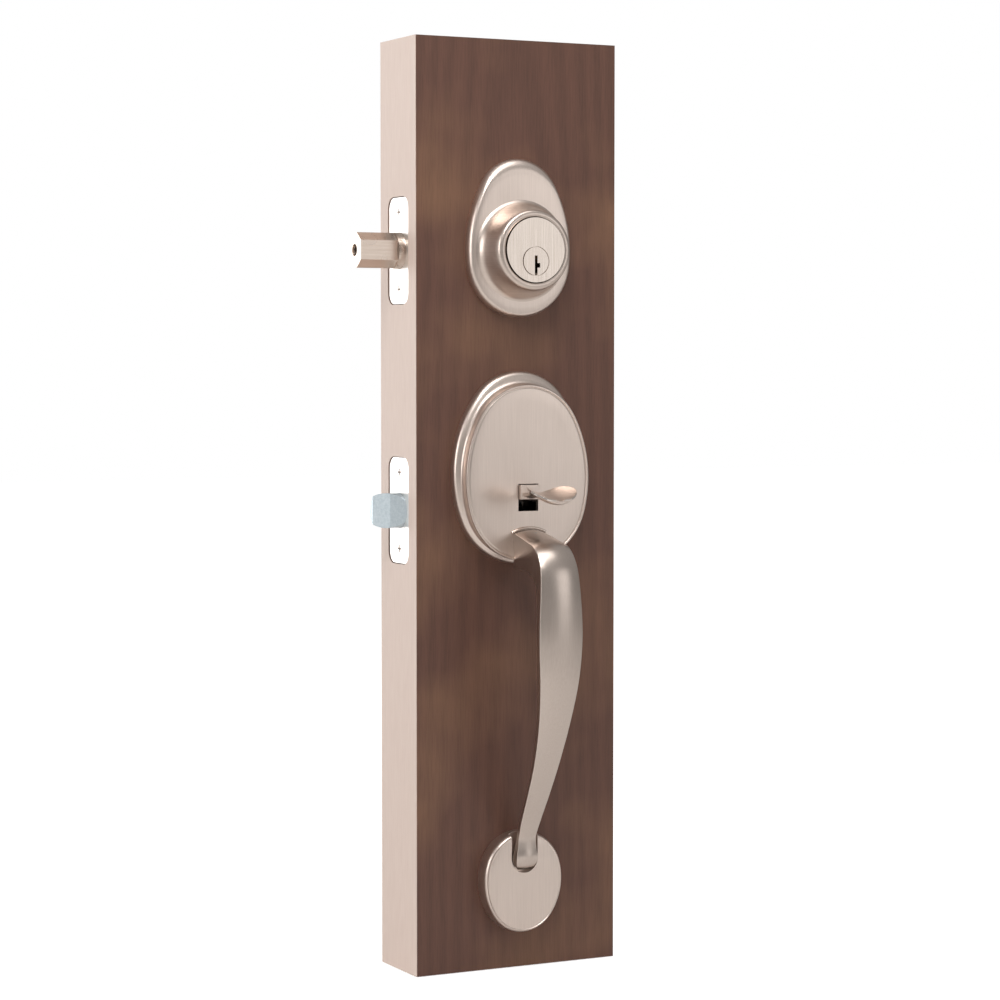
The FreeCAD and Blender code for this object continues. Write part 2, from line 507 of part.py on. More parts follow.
def deadbolt_inside_door():
    end = "(-backset + bolt_body_length + bolt_throw + 0.9)"
    fork_end = "(bolt_throw / 2 + fork_reach)"
    walls, bearing = case_plates("bolt_height", "-plug_drop", end, "case_shoulder", "case_below",
                                 "case_above", f"({fork_end} + case_plate - 0.2)")
    bridge = block((fork_end, f"{fork_end} + case_plate"), ("-case_gap - case_plate", "case_gap + case_plate"),
                   ("bolt_height - case_below", "bolt_height + bridge_top"))
    node("deadbolt_case", cut(join(tube("bolt_height", end), bridge, *walls), bearing))

    tip = "(-backset - bolt_throw)"
    bar = new_body("BoltBar", (tip, "0", "bolt_height"))
    wide, tall = "bolt_half_width", "bolt_half_height"
    ridge, face = "bolt_ridge_half", "bolt_face_half"
    pad(bar, draw(new_sketch(bar, "YZ_Plane"),
                  [(wide, f"-{face}"), (wide, face), (ridge, tall), (f"-{ridge}", tall), (f"-{wide}", face),
                   (f"-{wide}", f"-{face}"), (f"-{ridge}", f"-{tall}"), (ridge, f"-{tall}")]), "bolt_throw")
    body_back = "(-backset + bolt_body_length)"
    barrel = rod_x("bolt_radius", "0", "bolt_height", "-backset - bolt_round_length", body_back)
    hole = rod_x("hard_pin_radius + running_gap", "0", "bolt_height", f"{tip} - 1",
                 "-backset + hard_pin_depth")
    pin_x = "(-bolt_throw / 2)"
    low_edge, web_top = f"{PLUG_AXIS} + hub_radius + fork_lift", "bolt_height + fork_web_top"
    slot_half = "(crank_pin_radius + slot_side_gap)"
    slot_top = f"({PLUG_AXIS} + bolt_throw / sqrt(2) + {slot_half})"
    fork = [block((body_back, f"{body_back} + bolt_throw * fork_web_share"), ("-fork_outer", "fork_outer"),
                  (low_edge, web_top))]
    for low, high in (("-fork_outer", "-fork_inner"), ("fork_inner", "fork_outer")):
        fork.append(block((body_back, pin_x), (low, high), (low_edge, web_top)))
        fork.append(block((f"{pin_x} - fork_reach", f"{pin_x} + fork_reach"), (low, high),
                          (low_edge, f"{slot_top} + fork_rim")))
    slot = block((f"{pin_x} - {slot_half}", f"{pin_x} + {slot_half}"), ("-fork_outer - 1", "fork_outer + 1"),
                 (f"{PLUG_AXIS} + bolt_throw / 2 - {slot_half}", slot_top))
    node("deadbolt_bolt", join(cut(join(bar, barrel), hole), cut(join(*fork), slot)))
    node("hardened_pin", rod_x("hard_pin_radius", "0", "bolt_height", f"{tip} + hard_pin_recess",
                               "-backset + hard_pin_depth - 0.2"))

    turn = FreeCAD.Rotation(FreeCAD.Vector(0, 1, 0), -45)
    arm = doc.addObject("Part::Box", "Arm")
    arm.setExpression("Length", bound("crank_width"))
    arm.setExpression("Width", bound("crank_thick"))
    arm.setExpression("Height", bound("bolt_throw / sqrt(2)"))
    put(arm, ("-crank_width / 2 / sqrt(2)", "-crank_thick / 2", f"{PLUG_AXIS} - crank_width / 2 / sqrt(2)"), turn)
    hub = rod_y("hub_radius", "0", PLUG_AXIS, "-hub_half_length", "hub_half_length")
    pin = rod_y("crank_pin_radius", pin_x, f"{PLUG_AXIS} + bolt_throw / 2",
                "-fork_outer - crank_pin_proud", "fork_outer + crank_pin_proud")
    node("deadbolt_crank", cut(join(hub, arm, pin),
                                blade_hole("-hub_half_length - 1", "hub_half_length + 1")))


def inside_plate(name, axis, middle, radius, hole):
    plate = rod_y(radius, "0", middle, inner("0"), inner("inside_plate_thick"))
    holes = [rod_y("screw_radius + 0.2", side, f"{axis} + {rise}", inner("-1"), inner("3"))
             for side, rise in BORE_SCREWS]
    node(name, cut(plate, rod_y(hole, "0", middle, inner("-1"), inner("3")), *holes))


def inside_rose(name, middle, radius, depth, hole):
    """A pressed cup over the mounting plate."""
    node(name, turned(name + "_turned", ("0", "door_thickness / 2", middle),
                      [("0", radius), (f"{depth} * 0.45", radius), (depth, f"{radius} - 5"), (depth, hole),
                       (f"{depth} - rose_wall", hole), (f"{depth} - rose_wall", f"{radius} - 6.2"),
                       (f"{depth} * 0.4", f"{radius} - rose_wall"), ("0", f"{radius} - rose_wall")]))


def deadbolt_inside():
    inside_plate("thumbturn_plate", "bolt_height", PLUG_AXIS, "turn_rose_radius - rose_wall - 0.4",
                 "turn_stem_radius + 2")
    inside_rose("thumbturn_rose", PLUG_AXIS, "turn_rose_radius", "turn_rose_depth",
                "turn_stem_radius + running_gap")
    stem = turned("TurnStem", ("0", "door_thickness / 2", PLUG_AXIS),
                  [("0.3", "0"), ("0.3", "turn_stem_radius"), ("turn_rose_depth - 2.6", "turn_stem_radius"),
                   ("turn_rose_depth - 2.6", "turn_stem_radius - 1"), ("turn_rose_depth - 1.6",
                                                                       "turn_stem_radius - 1"),
                   ("turn_rose_depth - 1.6", "turn_stem_radius"), ("turn_rose_depth + 0.3", "turn_stem_radius"),
                   ("turn_rose_depth + 0.3", "turn_stem_radius + 4"), ("turn_rose_depth + 2",
                                                                       "turn_stem_radius + 3"),
                   ("turn_rose_depth + 4", "turn_stem_radius + 1"), ("turn_rose_depth + 4", "0")])
    paddle = new_body("Paddle", ("0", inner("turn_rose_depth + 2"), PLUG_AXIS))
    long_half, half = "turn_paddle_half", "turn_paddle_width / 2"
    pad(paddle, draw(new_sketch(paddle, "XZ_Plane"),
                     [(f"{long_half} - {half}", f"-{half}", half, 1), (long_half, "0", half, 1),
                      (f"{long_half} - {half}", half), (f"{half} - {long_half}", half, half, 1),
                      (f"-{long_half}", "0", half, 1), (f"{half} - {long_half}", f"-{half}")]),
        "turn_paddle_depth", True)
    node("thumbturn", cut(join(stem, paddle), blade_hole(inner("0"), inner("5.2"))))
    ring = cut(rod_y("turn_stem_radius + 2.5", "0", PLUG_AXIS, inner("turn_rose_depth - 2.5"),
                     inner("turn_rose_depth - 1.7")),
               rod_y("turn_stem_radius - 0.95", "0", PLUG_AXIS, inner("0"), inner("turn_rose_depth")))
    node("thumbturn_clip", cut(ring, block(("-2.5", "2.5"), (inner("0"), inner("turn_rose_depth")),
                                           (f"{PLUG_AXIS} - 12", PLUG_AXIS))))
    bore_screws("deadbolt_screws", "bolt_height", "inside_plate_thick")


GRIP_SCREWS = (0.7, 7.2)
# Where the drawn grip starts and ends, how far it stands out, and the part of it that is the foot
GRIP_DRAWN_FOOT, GRIP_DRAWN_SPAN = 61.0, 168.5
GRIP_DRAWN_REACH, GRIP_DRAWN_BASE, GRIP_DRAWN_FOOT_BASE = 40.8, 14.0, 6.0
GRIP_FOOT_SHARE = 0.05
# How wide the grip's back is, and how deep its crease lines lie, as shares of its width and depth
GRIP_BACK_SHARE, GRIP_CREASE_SHARE = 0.9, 0.74
# Stations along the grip: its back and its front, each as (out, up), and half its width there
GRIP_STATIONS = (
    ((14.0, 219.0), (14.0, 240.0), 9.6), ((27.0, 218.4), (27.5, 237.2), 10.0),
    ((36.0, 216.5), (42.5, 233.5), 10.5), ((41.0, 212.0), (50.8, 223.5), 11.0),
    ((43.5, 205.5), (53.9, 209.5), 11.9), ((45.0, 193.0), (54.8, 193.0), 12.8),
    ((45.2, 177.0), (54.4, 178.5), 12.7), ((43.5, 157.5), (52.4, 160.0), 11.4),
    ((38.6, 135.5), (46.4, 138.5), 9.3), ((30.3, 113.0), (37.2, 116.5), 7.6),
    ((20.6, 94.0), (27.0, 97.5), 6.6), ((12.0, 79.5), (18.2, 82.0), 5.9),
    ((8.2, 70.0), (15.6, 71.0), 6.4), ((6.0, 62.5), (14.2, 62.0), 7.3), ((5.9, 58.2), (12.4, 57.0), 6.2),
    ((5.8, 55.6), (9.5, 55.0), 4.2))


def grip_point(spot):
    """A drawn point of the grip, moved to the present span and reach."""
    out, up = spot
    share = (up - GRIP_DRAWN_FOOT) / GRIP_DRAWN_SPAN
    stretch = (value("grip_reach - rose_depth")) / GRIP_DRAWN_REACH
    base = value("recess_depth") + 1 if share < GRIP_FOOT_SHARE else value("rose_depth")
    drawn_base = GRIP_DRAWN_FOOT_BASE if share < GRIP_FOOT_SHARE else GRIP_DRAWN_BASE
    reach = base + (out - drawn_base) * stretch
    height = value("grip_foot") + share * value("grip_top - grip_foot")
    return FreeCAD.Vector(0, value(outer(reach)), height)


def grip():
    sections = []
    for back_spot, front_spot, half in GRIP_STATIONS:
        back = grip_point(back_spot)
        front = grip_point(front_spot)
        through = front - back
        across = FreeCAD.Vector(half, 0, 0)
        corners = [back - across * GRIP_BACK_SHARE, back + across * GRIP_BACK_SHARE,
                   back + across + through * GRIP_CREASE_SHARE, back - across + through * GRIP_CREASE_SHARE]
        sections.append(Part.Wire([Part.makeLine(corners[0], corners[1]), Part.makeLine(corners[1], corners[2]),
                                   Part.Arc(corners[2], front, corners[3]).toShape(),
                                   Part.makeLine(corners[3], corners[0])]))
    arc = doc.addObject("Part::Feature", "GripArc")
    arc.Shape = Part.makeLoft(sections, True, False)
    boss = rod_y("foot_boss_radius", "0", "grip_foot", outer("recess_depth + 5"), "-door_thickness / 2 + 12")
    tapped = rod_y("foot_bolt_radius + running_gap", "0", "grip_foot", outer("recess_depth"),
                   "-door_thickness / 2 + 13")
    holes = [rod_y("grip_screw_radius + running_gap", "0", f"grip_top + {rise}",
                   outer("rose_depth - rose_front + grip_screw_length + 1"), outer("rose_depth - 1"))
             for rise in GRIP_SCREWS]
    node("grip", cut(join(arc, boss), tapped, *holes))
    screws = []
    for rise in GRIP_SCREWS:
        spot = f"(grip_top + {rise})"
        back = "(rose_depth - rose_front)"
        head = rod_y("grip_screw_head", "0", spot, outer(back), outer(f"{back} - 2.6"))
        shank = rod_y("grip_screw_radius", "0", spot, outer(f"{back} + grip_screw_length"), outer(back))
        drive = block(("-2.6", "2.6"), (outer(f"{back} - 1.4"), outer(f"{back} - 4")),
                      (f"{spot} - 0.5", f"{spot} + 0.5"))
        screws.append(cut(join(head, shank), drive))
    node("grip_screws", group(*screws))


def handle_rose():
    centre = "(latch_height + rose_centre)"
    rose = new_body("HandleRose", ("0", "-door_thickness / 2", centre))
    base = egg("rose_half", "rose_top", "rose_bottom", "rose_side")
    panel = egg("panel_half", "panel_top", "panel_bottom", "rose_side")
    lift = "(panel_centre - rose_centre)"
    raised = [(corner[0], f"({corner[1]} + {lift})", corner[2], corner[3]) for corner in panel]
    pad(rose, draw(new_sketch(rose, "XZ_Plane"), base), "rose_edge")
    loft(rose, draw(new_sketch(rose, "XZ_Plane", "rose_edge"), base),
         draw(new_sketch(rose, "XZ_Plane", "rose_depth"), raised))
    hollow = new_body("HandleRoseHollow", ("0", "-door_thickness / 2 + 1", "latch_height + panel_centre"))
    inside = egg("panel_half", "panel_top", "panel_bottom", "rose_side", "rose_wall_side")
    pad(hollow, draw(new_sketch(hollow, "XZ_Plane"), inside), "rose_depth - rose_front + 1")
    solid, holes = posts("latch_height", "rose_depth - 1")
    pivot = "(latch_height + pivot_rise)"
    near, far = "slot_half + loose_gap", "slot_half + loose_gap + ear_thick"
    ears = [block((low, high), (outer("rose_depth - 1"), outer("pivot_out - ear_half")),
                  (f"{pivot} - ear_half", f"{pivot} + ear_half"))
            for low, high in ((f"-({far})", f"-({near})"), (near, far))]
    slot = block(("-slot_half", "slot_half"), (outer("rose_depth + 1"), outer("rose_depth - rose_front - 1")),
                 ("latch_height + slot_bottom", "latch_height + slot_top"))
    bores = [rod_x("pivot_radius + running_gap", outer("pivot_out"), pivot, "-slot_half - 4", "slot_half + 4")]
    for rise in GRIP_SCREWS:
        bores.append(rod_y("grip_screw_radius + running_gap", "0", f"grip_top + {rise}", outer("rose_depth + 1"),
                           outer("rose_depth - rose_front - 1")))
    node("handle_rose", cut(join(cut(rose, hollow), *solid, *ears), slot, *bores, *holes))
    node("thumbpiece_pin", rod_x("pivot_radius", outer("pivot_out"), pivot, f"-({far}) - 0.2",
                                 f"{far} + 2 * pin_proud"))
    node("thumbpiece_spring", coil("press_spring_radius", "press_spring_wire", "press_spring_pitch", 3,
                                   (f"{far} + press_spring_wire + 0.2", outer("pivot_out"), pivot), ALONG_X))


def thumbpiece():
    pivot = "(latch_height + pivot_rise)"
    barrel = rod_x("barrel_radius", outer("pivot_out"), pivot, "-stem_half", "stem_half")
    stem = block(("-stem_half", "stem_half"), (outer("rose_depth + 2.5"), outer("pivot_out - 2")),
                 ("latch_height + stem_low", "latch_height + stem_high"))
    sections = []
    # The paddle: how far out, how high its middle is, half its width, how far its rim curls up, its thickness
    for out, up, half, curl, thick in ((1.5, 8.4, 4.6, 0.2, 3.4), (6.0, 8.2, 3.2, 0.3, 2.8),
                                       (12.0, 9.2, 5.5, 1.2, 2.2), (20.0, 8.6, 11.0, 2.6, 1.9),
                                       (28.0, 7.4, 13.6, 3.2, 1.8), (34.0, 6.6, 11.2, 2.6, 1.7),
                                       (37.0, 6.4, 5.5, 1.2, 1.5)):
        y = value(outer(f"rose_depth + {out}"))
        middle = value(f"latch_height + {up}")
        top = Part.Arc(FreeCAD.Vector(-half, y, middle + curl + thick / 2),
                       FreeCAD.Vector(0, y, middle + thick / 2),
                       FreeCAD.Vector(half, y, middle + curl + thick / 2))
        low = Part.Arc(FreeCAD.Vector(half, y, middle + curl - thick / 2),
                       FreeCAD.Vector(0, y, middle - thick / 2),
                       FreeCAD.Vector(-half, y, middle + curl - thick / 2))
        sides = [Part.makeLine(top.EndPoint, low.StartPoint), Part.makeLine(low.EndPoint, top.StartPoint)]
        sections.append(Part.Wire([top.toShape(), sides[0], low.toShape(), sides[1]]))
    paddle = doc.addObject("Part::Feature", "PaddleLoft")
    paddle.Shape = Part.makeLoft(sections, True, False)
    face = "-door_thickness / 2"
    beam = (f"{pivot} - tail_drop", f"{pivot} + tail_rise")
    tail = block(("-tail_half", "tail_half"), (outer("pivot_out - 1"), f"{face} + tail_far"), beam)
    across = block(("-tail_half", "finger_right"), (f"{face} + tail_near", f"{face} + tail_far"), beam)
    drop = block(("finger_left", "finger_right"), (f"{face} + finger_near", f"{face} + tail_far"),
                 (f"{pivot} - finger_drop", pivot))
    finger = block(("finger_left", "finger_right"), (f"{face} + finger_near", f"{face} + finger_far"),
                   (f"{pivot} - finger_drop", f"{pivot} - finger_drop + finger_thick"))
    bore = rod_x("pivot_radius + running_gap", outer("pivot_out"), pivot, "-stem_half - 1", "stem_half + 1")
    node("thumbpiece", cut(join(barrel, stem, paddle, tail, across, drop, finger), bore))
    low, high = f"{face} + lever_near", f"{face} + lever_far"
    lever = join(rod_y("spindle_radius + lever_wall", "0", "latch_height", low, high),
                 block(("0", "lever_reach"), (low, high),
                       ("latch_height + lever_low", "latch_height + lever_high")))
    node("lift_lever", cut(lever, half_round(low, high, 0.05)))


def half_round(low, high, gap):
    """The spindle's half-round section, with a gap all round it."""
    full = rod_y(f"spindle_radius + {gap}", "0", "latch_height", low, high)
    keep = block(("-2 * spindle_radius", "2 * spindle_radius"), (low, high),
                 (f"latch_height - half_round_drop - {gap}", "latch_height + 2 * spindle_radius"))
    return common(full, keep)


def lower_plate():
    body = new_body("LowerPlate", ("0", "-door_thickness / 2", "lower_centre"))
    base = egg("lower_half", "lower_top", "lower_bottom", "lower_side")
    face = egg("lower_half", "lower_top", "lower_bottom", "lower_side", "lower_slope")
    pad(body, draw(new_sketch(body, "XZ_Plane"), base), "lower_depth - 3")
    loft(body, draw(new_sketch(body, "XZ_Plane", "lower_depth - 3"), base),
         draw(new_sketch(body, "XZ_Plane", "lower_depth"), face))
    half = "(foot_half + loose_gap)"
    recess = join(rod_y(half, "0", "grip_foot", outer("lower_depth + 1"), outer("recess_depth")),
                  block((f"-{half}", half), (outer("lower_depth + 1"), outer("recess_depth")),
                        ("grip_foot", "lower_centre + lower_top + 1")))
    hole = rod_y("foot_boss_radius + 0.3", "0", "grip_foot", outer("lower_depth"), outer("-1"))
    node("lower_plate", cut(body, recess, hole))
    shank = rod_y("foot_bolt_radius", "0", "foot_height", "-door_thickness / 2 + 2", inner("1.2"))
    head = rod_y("foot_boss_radius", "0", "foot_height", inner("1.2"), inner("3.4"))
    hexagon = doc.addObject("Part::Prism", "Hexagon")
    hexagon.Polygon = 6
    hexagon.Circumradius = 2.3
    hexagon.Height = 3
    put(hexagon, ("0", inner("1.9"), "foot_height"), ALONG_Y)
    node("foot_bolt", cut(join(shank, head), hexagon))
    cover = turned("FootCover", ("0", "door_thickness / 2", "foot_height"),
                   [("0", "foot_bolt_radius + 0.2"), ("0", "foot_cover_radius"), ("1.5", "foot_cover_radius"),
                    ("foot_cover_depth", "foot_cover_radius - 3"), ("foot_cover_depth", "foot_boss_radius + 0.6"),
                    ("1.2", "foot_boss_radius + 0.6"), ("1.2", "foot_bolt_radius + 0.2")])
    node("foot_cover", cover)


def spring_latch():
    end = "(-backset + latch_body_length + latch_throw + latch_tube_spare)"
    walls, bearing = case_plates("latch_height", "0", end, "latch_case_shoulder", "latch_case_half",
                                 "latch_case_half", "latch_case_back")
    node("latch_case", cut(join(tube("latch_height", end), *walls), bearing))
    tip = "(-backset - latch_throw)"
    back = "(-backset + latch_body_length)"
    barrel = rod_x("latch_radius", "0", "latch_height", tip, back)
    # The bevel runs from a narrow land at the tip to the outside flank of the bolt
    bevel = new_body("Bevel", (tip, "0", "latch_height - 15"))
    land = "(latch_radius - latch_bevel_land)"
    pad(bevel, draw(new_sketch(bevel, "XY_Plane"),
                    [("0", land), ("-1", land), ("-1", "-latch_radius - 2"),
                     ("latch_bevel_inner", "-latch_radius - 2"), ("latch_bevel_inner", "-latch_radius"),
                     ("latch_bevel_inner * 0.45", "-latch_radius * 0.22")]), "30")
    rails = ("latch_height - tail_bar_low", "latch_height - tail_bar_high")
    web = block((back, f"{back} + tail_web_length"), ("-tail_bar_outer", "tail_bar_outer"), rails)
    push = "(crank_pin_radius + latch_lost_motion)"
    bars = [block((back, f"{push} + tail_rim"), (low, high), rails)
            for low, high in (("-tail_bar_outer", "-tail_bar_inner"), ("tail_bar_inner", "tail_bar_outer"))]
    hook = block((push, f"{push} + tail_rim"), ("-tail_bar_outer", "tail_bar_outer"),
                 ("latch_height - latch_arm - hook_lip", rails[1]))
    node("latch_bolt", cut(barrel, bevel))
    node("latch_tail", join(web, hook, *bars))
    hub = rod_y("hub_radius", "0", "latch_height", "-hub_half_length", "hub_half_length")
    arm = block(("-crank_pin_radius", "crank_pin_radius"), ("-crank_thick / 2", "crank_thick / 2"),
                ("latch_height - latch_arm", "latch_height"))
    end = rod_y("crank_pin_radius", "0", "latch_height - latch_arm", "-crank_thick / 2", "crank_thick / 2")
    node("latch_hub", cut(join(hub, arm, end), half_round("-hub_half_length - 1", "hub_half_length + 1", 0.05)))
    node("latch_spring", coil("latch_spring_radius", "latch_spring_wire", "latch_spring_pitch", 6,
                              (f"{back} + latch_spring_wire + 0.1", "0", "latch_height + latch_spring_rise"),
                              ALONG_X))
    node("spindle", half_round("-door_thickness / 2 + lever_near", inner("socket_far"), 0))


def handle_inside():
    inside_plate("knob_plate", "latch_height", "latch_height", "knob_rose_radius - rose_wall - 0.4",
                 "knob_neck + 0.6")
    inside_rose("knob_rose", "latch_height", "knob_rose_radius", "knob_rose_depth",
                "knob_neck + running_gap")
    ball = "(knob_length - knob_ball_back)"
    knob = turned("Knob", ("0", "door_thickness / 2", "latch_height"),
                  [("0.4", "spindle_radius + 3"), ("0.4", "knob_neck"), ("knob_rose_depth - 2.4", "knob_neck"),
                   ("knob_rose_depth - 2.4", "knob_neck - 1"), ("knob_rose_depth - 1.55", "knob_neck - 1"),
                   ("knob_rose_depth - 1.55", "knob_neck"), ("knob_length * 0.35", "knob_neck"),
                   ("knob_length * 0.48", "knob_neck + 4"), (f"{ball} - 6", "knob_radius - 1.5"),
                   (ball, "knob_radius"), (f"{ball} + 6", "knob_radius - 1.5"),
                   ("knob_length - 2", "knob_radius - 9"), ("knob_length", "knob_radius - 17"),
                   ("knob_length", "0"), ("socket_far + 2", "0"),
                   ("socket_far + 2", "spindle_radius + 3")])
    web = cut(rod_y("spindle_radius + socket_wall", "0", "latch_height", inner("socket_near"),
                    inner("socket_far + 2.2")),
              half_round(inner("socket_near - 1"), inner("socket_far + 0.1"), 0.05))
    node("inside_knob", join(knob, web))
    ring = cut(rod_y("knob_neck + 2.5", "0", "latch_height", inner("knob_rose_depth - 2.3"),
                     inner("knob_rose_depth - 1.65")),
               rod_y("knob_neck - 0.95", "0", "latch_height", inner("0"), inner("knob_rose_depth")))
    node("knob_clip", cut(ring, block(("-5", "5"), (inner("0"), inner("knob_rose_depth")),
                                      ("latch_height - 20", "latch_height"))))
    node("knob_spring", coil("knob_neck + 2.2", "knob_spring_wire", "knob_spring_pitch", 2,
                             ("0", inner("inside_plate_thick + knob_spring_wire + 0.1"), "latch_height"), ALONG_Y))
    bore_screws("handle_screws", "latch_height", "inside_plate_thick")


door_block()
edge_set("deadbolt", "bolt_height", "bolt_radius + running_gap")
deadbolt_outside()
cylinder()
deadbolt_inside_door()
deadbolt_inside()
handle_rose()
thumbpiece()
grip()
lower_plate()
edge_set("latch", "latch_height", "latch_radius + 0.1")
spring_latch()
handle_inside()
doc.recompute()

for obj in doc.Objects:
    if "Invalid" in obj.State or "Error" in obj.State:
        raise RuntimeError(f"{obj.Name} ({obj.Label}) failed: {obj.State}")
os.makedirs("parts", exist_ok=True)
for obj in NODES:
    if obj.Shape.isNull() or not obj.Shape.isValid():
        raise RuntimeError(f"{obj.Label} has no valid shape")
    obj.Shape.exportStep(f"parts/{obj.Label}.step")
    print(obj.Label, len(obj.Shape.Solids), round(obj.Shape.Volume, 1))
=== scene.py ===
"""Looks of an entry lock set on a wooden door sample: finishes, fine shapes, studio and camera."""
import logging
import math
from collections.abc import Sequence
from dataclasses import dataclass, field
from enum import Enum

import bmesh
import bpy
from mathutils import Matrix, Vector


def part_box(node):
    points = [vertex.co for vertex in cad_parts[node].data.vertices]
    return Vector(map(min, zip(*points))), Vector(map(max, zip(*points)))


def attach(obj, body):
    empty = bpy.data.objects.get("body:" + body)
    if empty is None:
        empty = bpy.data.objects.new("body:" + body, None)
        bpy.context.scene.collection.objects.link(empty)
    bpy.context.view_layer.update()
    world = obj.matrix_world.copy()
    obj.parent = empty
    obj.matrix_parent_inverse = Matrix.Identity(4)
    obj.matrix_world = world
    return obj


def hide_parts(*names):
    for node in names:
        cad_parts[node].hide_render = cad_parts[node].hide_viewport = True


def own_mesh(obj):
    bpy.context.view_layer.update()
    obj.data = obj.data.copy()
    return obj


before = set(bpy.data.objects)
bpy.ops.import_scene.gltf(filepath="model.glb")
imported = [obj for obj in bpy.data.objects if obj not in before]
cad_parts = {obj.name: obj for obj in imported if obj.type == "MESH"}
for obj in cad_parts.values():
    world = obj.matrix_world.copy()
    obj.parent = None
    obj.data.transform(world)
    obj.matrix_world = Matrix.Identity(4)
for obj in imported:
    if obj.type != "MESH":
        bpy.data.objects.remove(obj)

LOG = logging.getLogger("entry_lock")
MM = 0.001
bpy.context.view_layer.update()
# Corners this close together are one corner, on pieces made here and on the CAD's own meshes, m
WELD = 1e-6
CAD_WELD = 2e-6

Ring = list[Vector]
Profile = Sequence[tuple[float, float]]


def srgb(code: str) -> tuple[float, float, float, float]:
    """Turns an sRGB hex colour to linear.

    Args:
        code: Six hex digits after a hash.

    Returns:
        Linear red, green, blue and an alpha of 1.
    """
    parts = [int(code[place:place + 2], 16) / 255 for place in (1, 3, 5)]
    linear = [part / 12.92 if part <= 0.04045 else ((part + 0.055) / 1.055) ** 2.4 for part in parts]
    return linear[0], linear[1], linear[2], 1.0


def add(tree: bpy.types.NodeTree, kind: str, settings: dict | None = None,
        links: dict | None = None) -> bpy.types.Node:
    """Adds a shader node with its settings and the links into it.

    Args:
        tree: The node tree that takes the node.
        kind: The node's type without its ShaderNode prefix.
        settings: Node properties by name, and input values by socket name or number.
        links: Output sockets by the input they feed.

    Returns:
        The new node.
    """
    node = tree.nodes.new("ShaderNode" + kind)
    for key, value in (settings or {}).items():
        if isinstance(key, str) and hasattr(node, key):
            setattr(node, key, value)
        else:
            node.inputs[key].default_value = value
    for key, socket in (links or {}).items():
        tree.links.new(socket, node.inputs[key])
    return node


def fresh(name: str) -> tuple[bpy.types.Material, bpy.types.NodeTree]:
    """Makes an empty node material; returns it and its tree."""
    material = bpy.data.materials.new(name)
    material.use_nodes = True
    material.node_tree.nodes.clear()
    return material, material.node_tree


class Lay(Enum):
    """The way a brush or belt ran over the metal, as how long its marks are along X, Y and Z in mm."""

    UPRIGHT = (0.35, 0.35, 26.0)
    LEVEL = (26.0, 26.0, 0.35)
    LONG = (26.0, 0.35, 0.35)
    NONE = (1.2, 1.2, 1.2)


@dataclass(frozen=True)
class BrushedMetal:
    """Plated or bare metal with a brushed, tumbled or polished surface."""

    name: str
    colour: str
    shade: str
    roughness: float
    lay: Lay = Lay.UPRIGHT
    depth: float = 0.012
    spread: float = 0.04

    def make(self) -> bpy.types.Material:
        """Builds the finish: streaks along the lay in colour, gloss and bump.

        Returns:
            The material.
        """
        material, tree = fresh(self.name)
        place = add(tree, "TexCoord").outputs["Object"]
        size = tuple(1 / (length * MM) for length in self.lay.value)
        stretched = add(tree, "Mapping", {"Scale": size}, {"Vector": place}).outputs[0]
        streak = add(tree, "TexNoise", {"Scale": 1.0, "Detail": 3.0, "Roughness": 0.6}, {"Vector": stretched})
        # Handling and plating leave broad soft patches, about 18 mm across
        patch = add(tree, "TexNoise", {"Scale": 55.0, "Detail": 2.0}, {"Vector": place})
        tint = add(tree, "Mix", {"data_type": "RGBA", 6: srgb(self.shade), 7: srgb(self.colour)})
        blend = add(tree, "MapRange", {1: 0.3, 2: 0.7, 3: 0.0, 4: 1.0}, {0: streak.outputs[0]})
        tree.links.new(blend.outputs[0], tint.inputs[0])
        gloss = add(tree, "MapRange", {1: 0.25, 2: 0.75, 3: self.roughness - self.spread / 2,
                                       4: self.roughness + self.spread / 2}, {0: patch.outputs[0]})
        bump = add(tree, "Bump", {"Strength": 0.35, "Distance": self.depth * MM},
                   {"Height": streak.outputs[0]})
        shader = add(tree, "BsdfPrincipled", {"Metallic": 1.0},
                     {"Base Color": tint.outputs[2], "Roughness": gloss.outputs[0],
                      "Normal": bump.outputs[0]})
        add(tree, "OutputMaterial", links={"Surface": shader.outputs[0]})
        return material


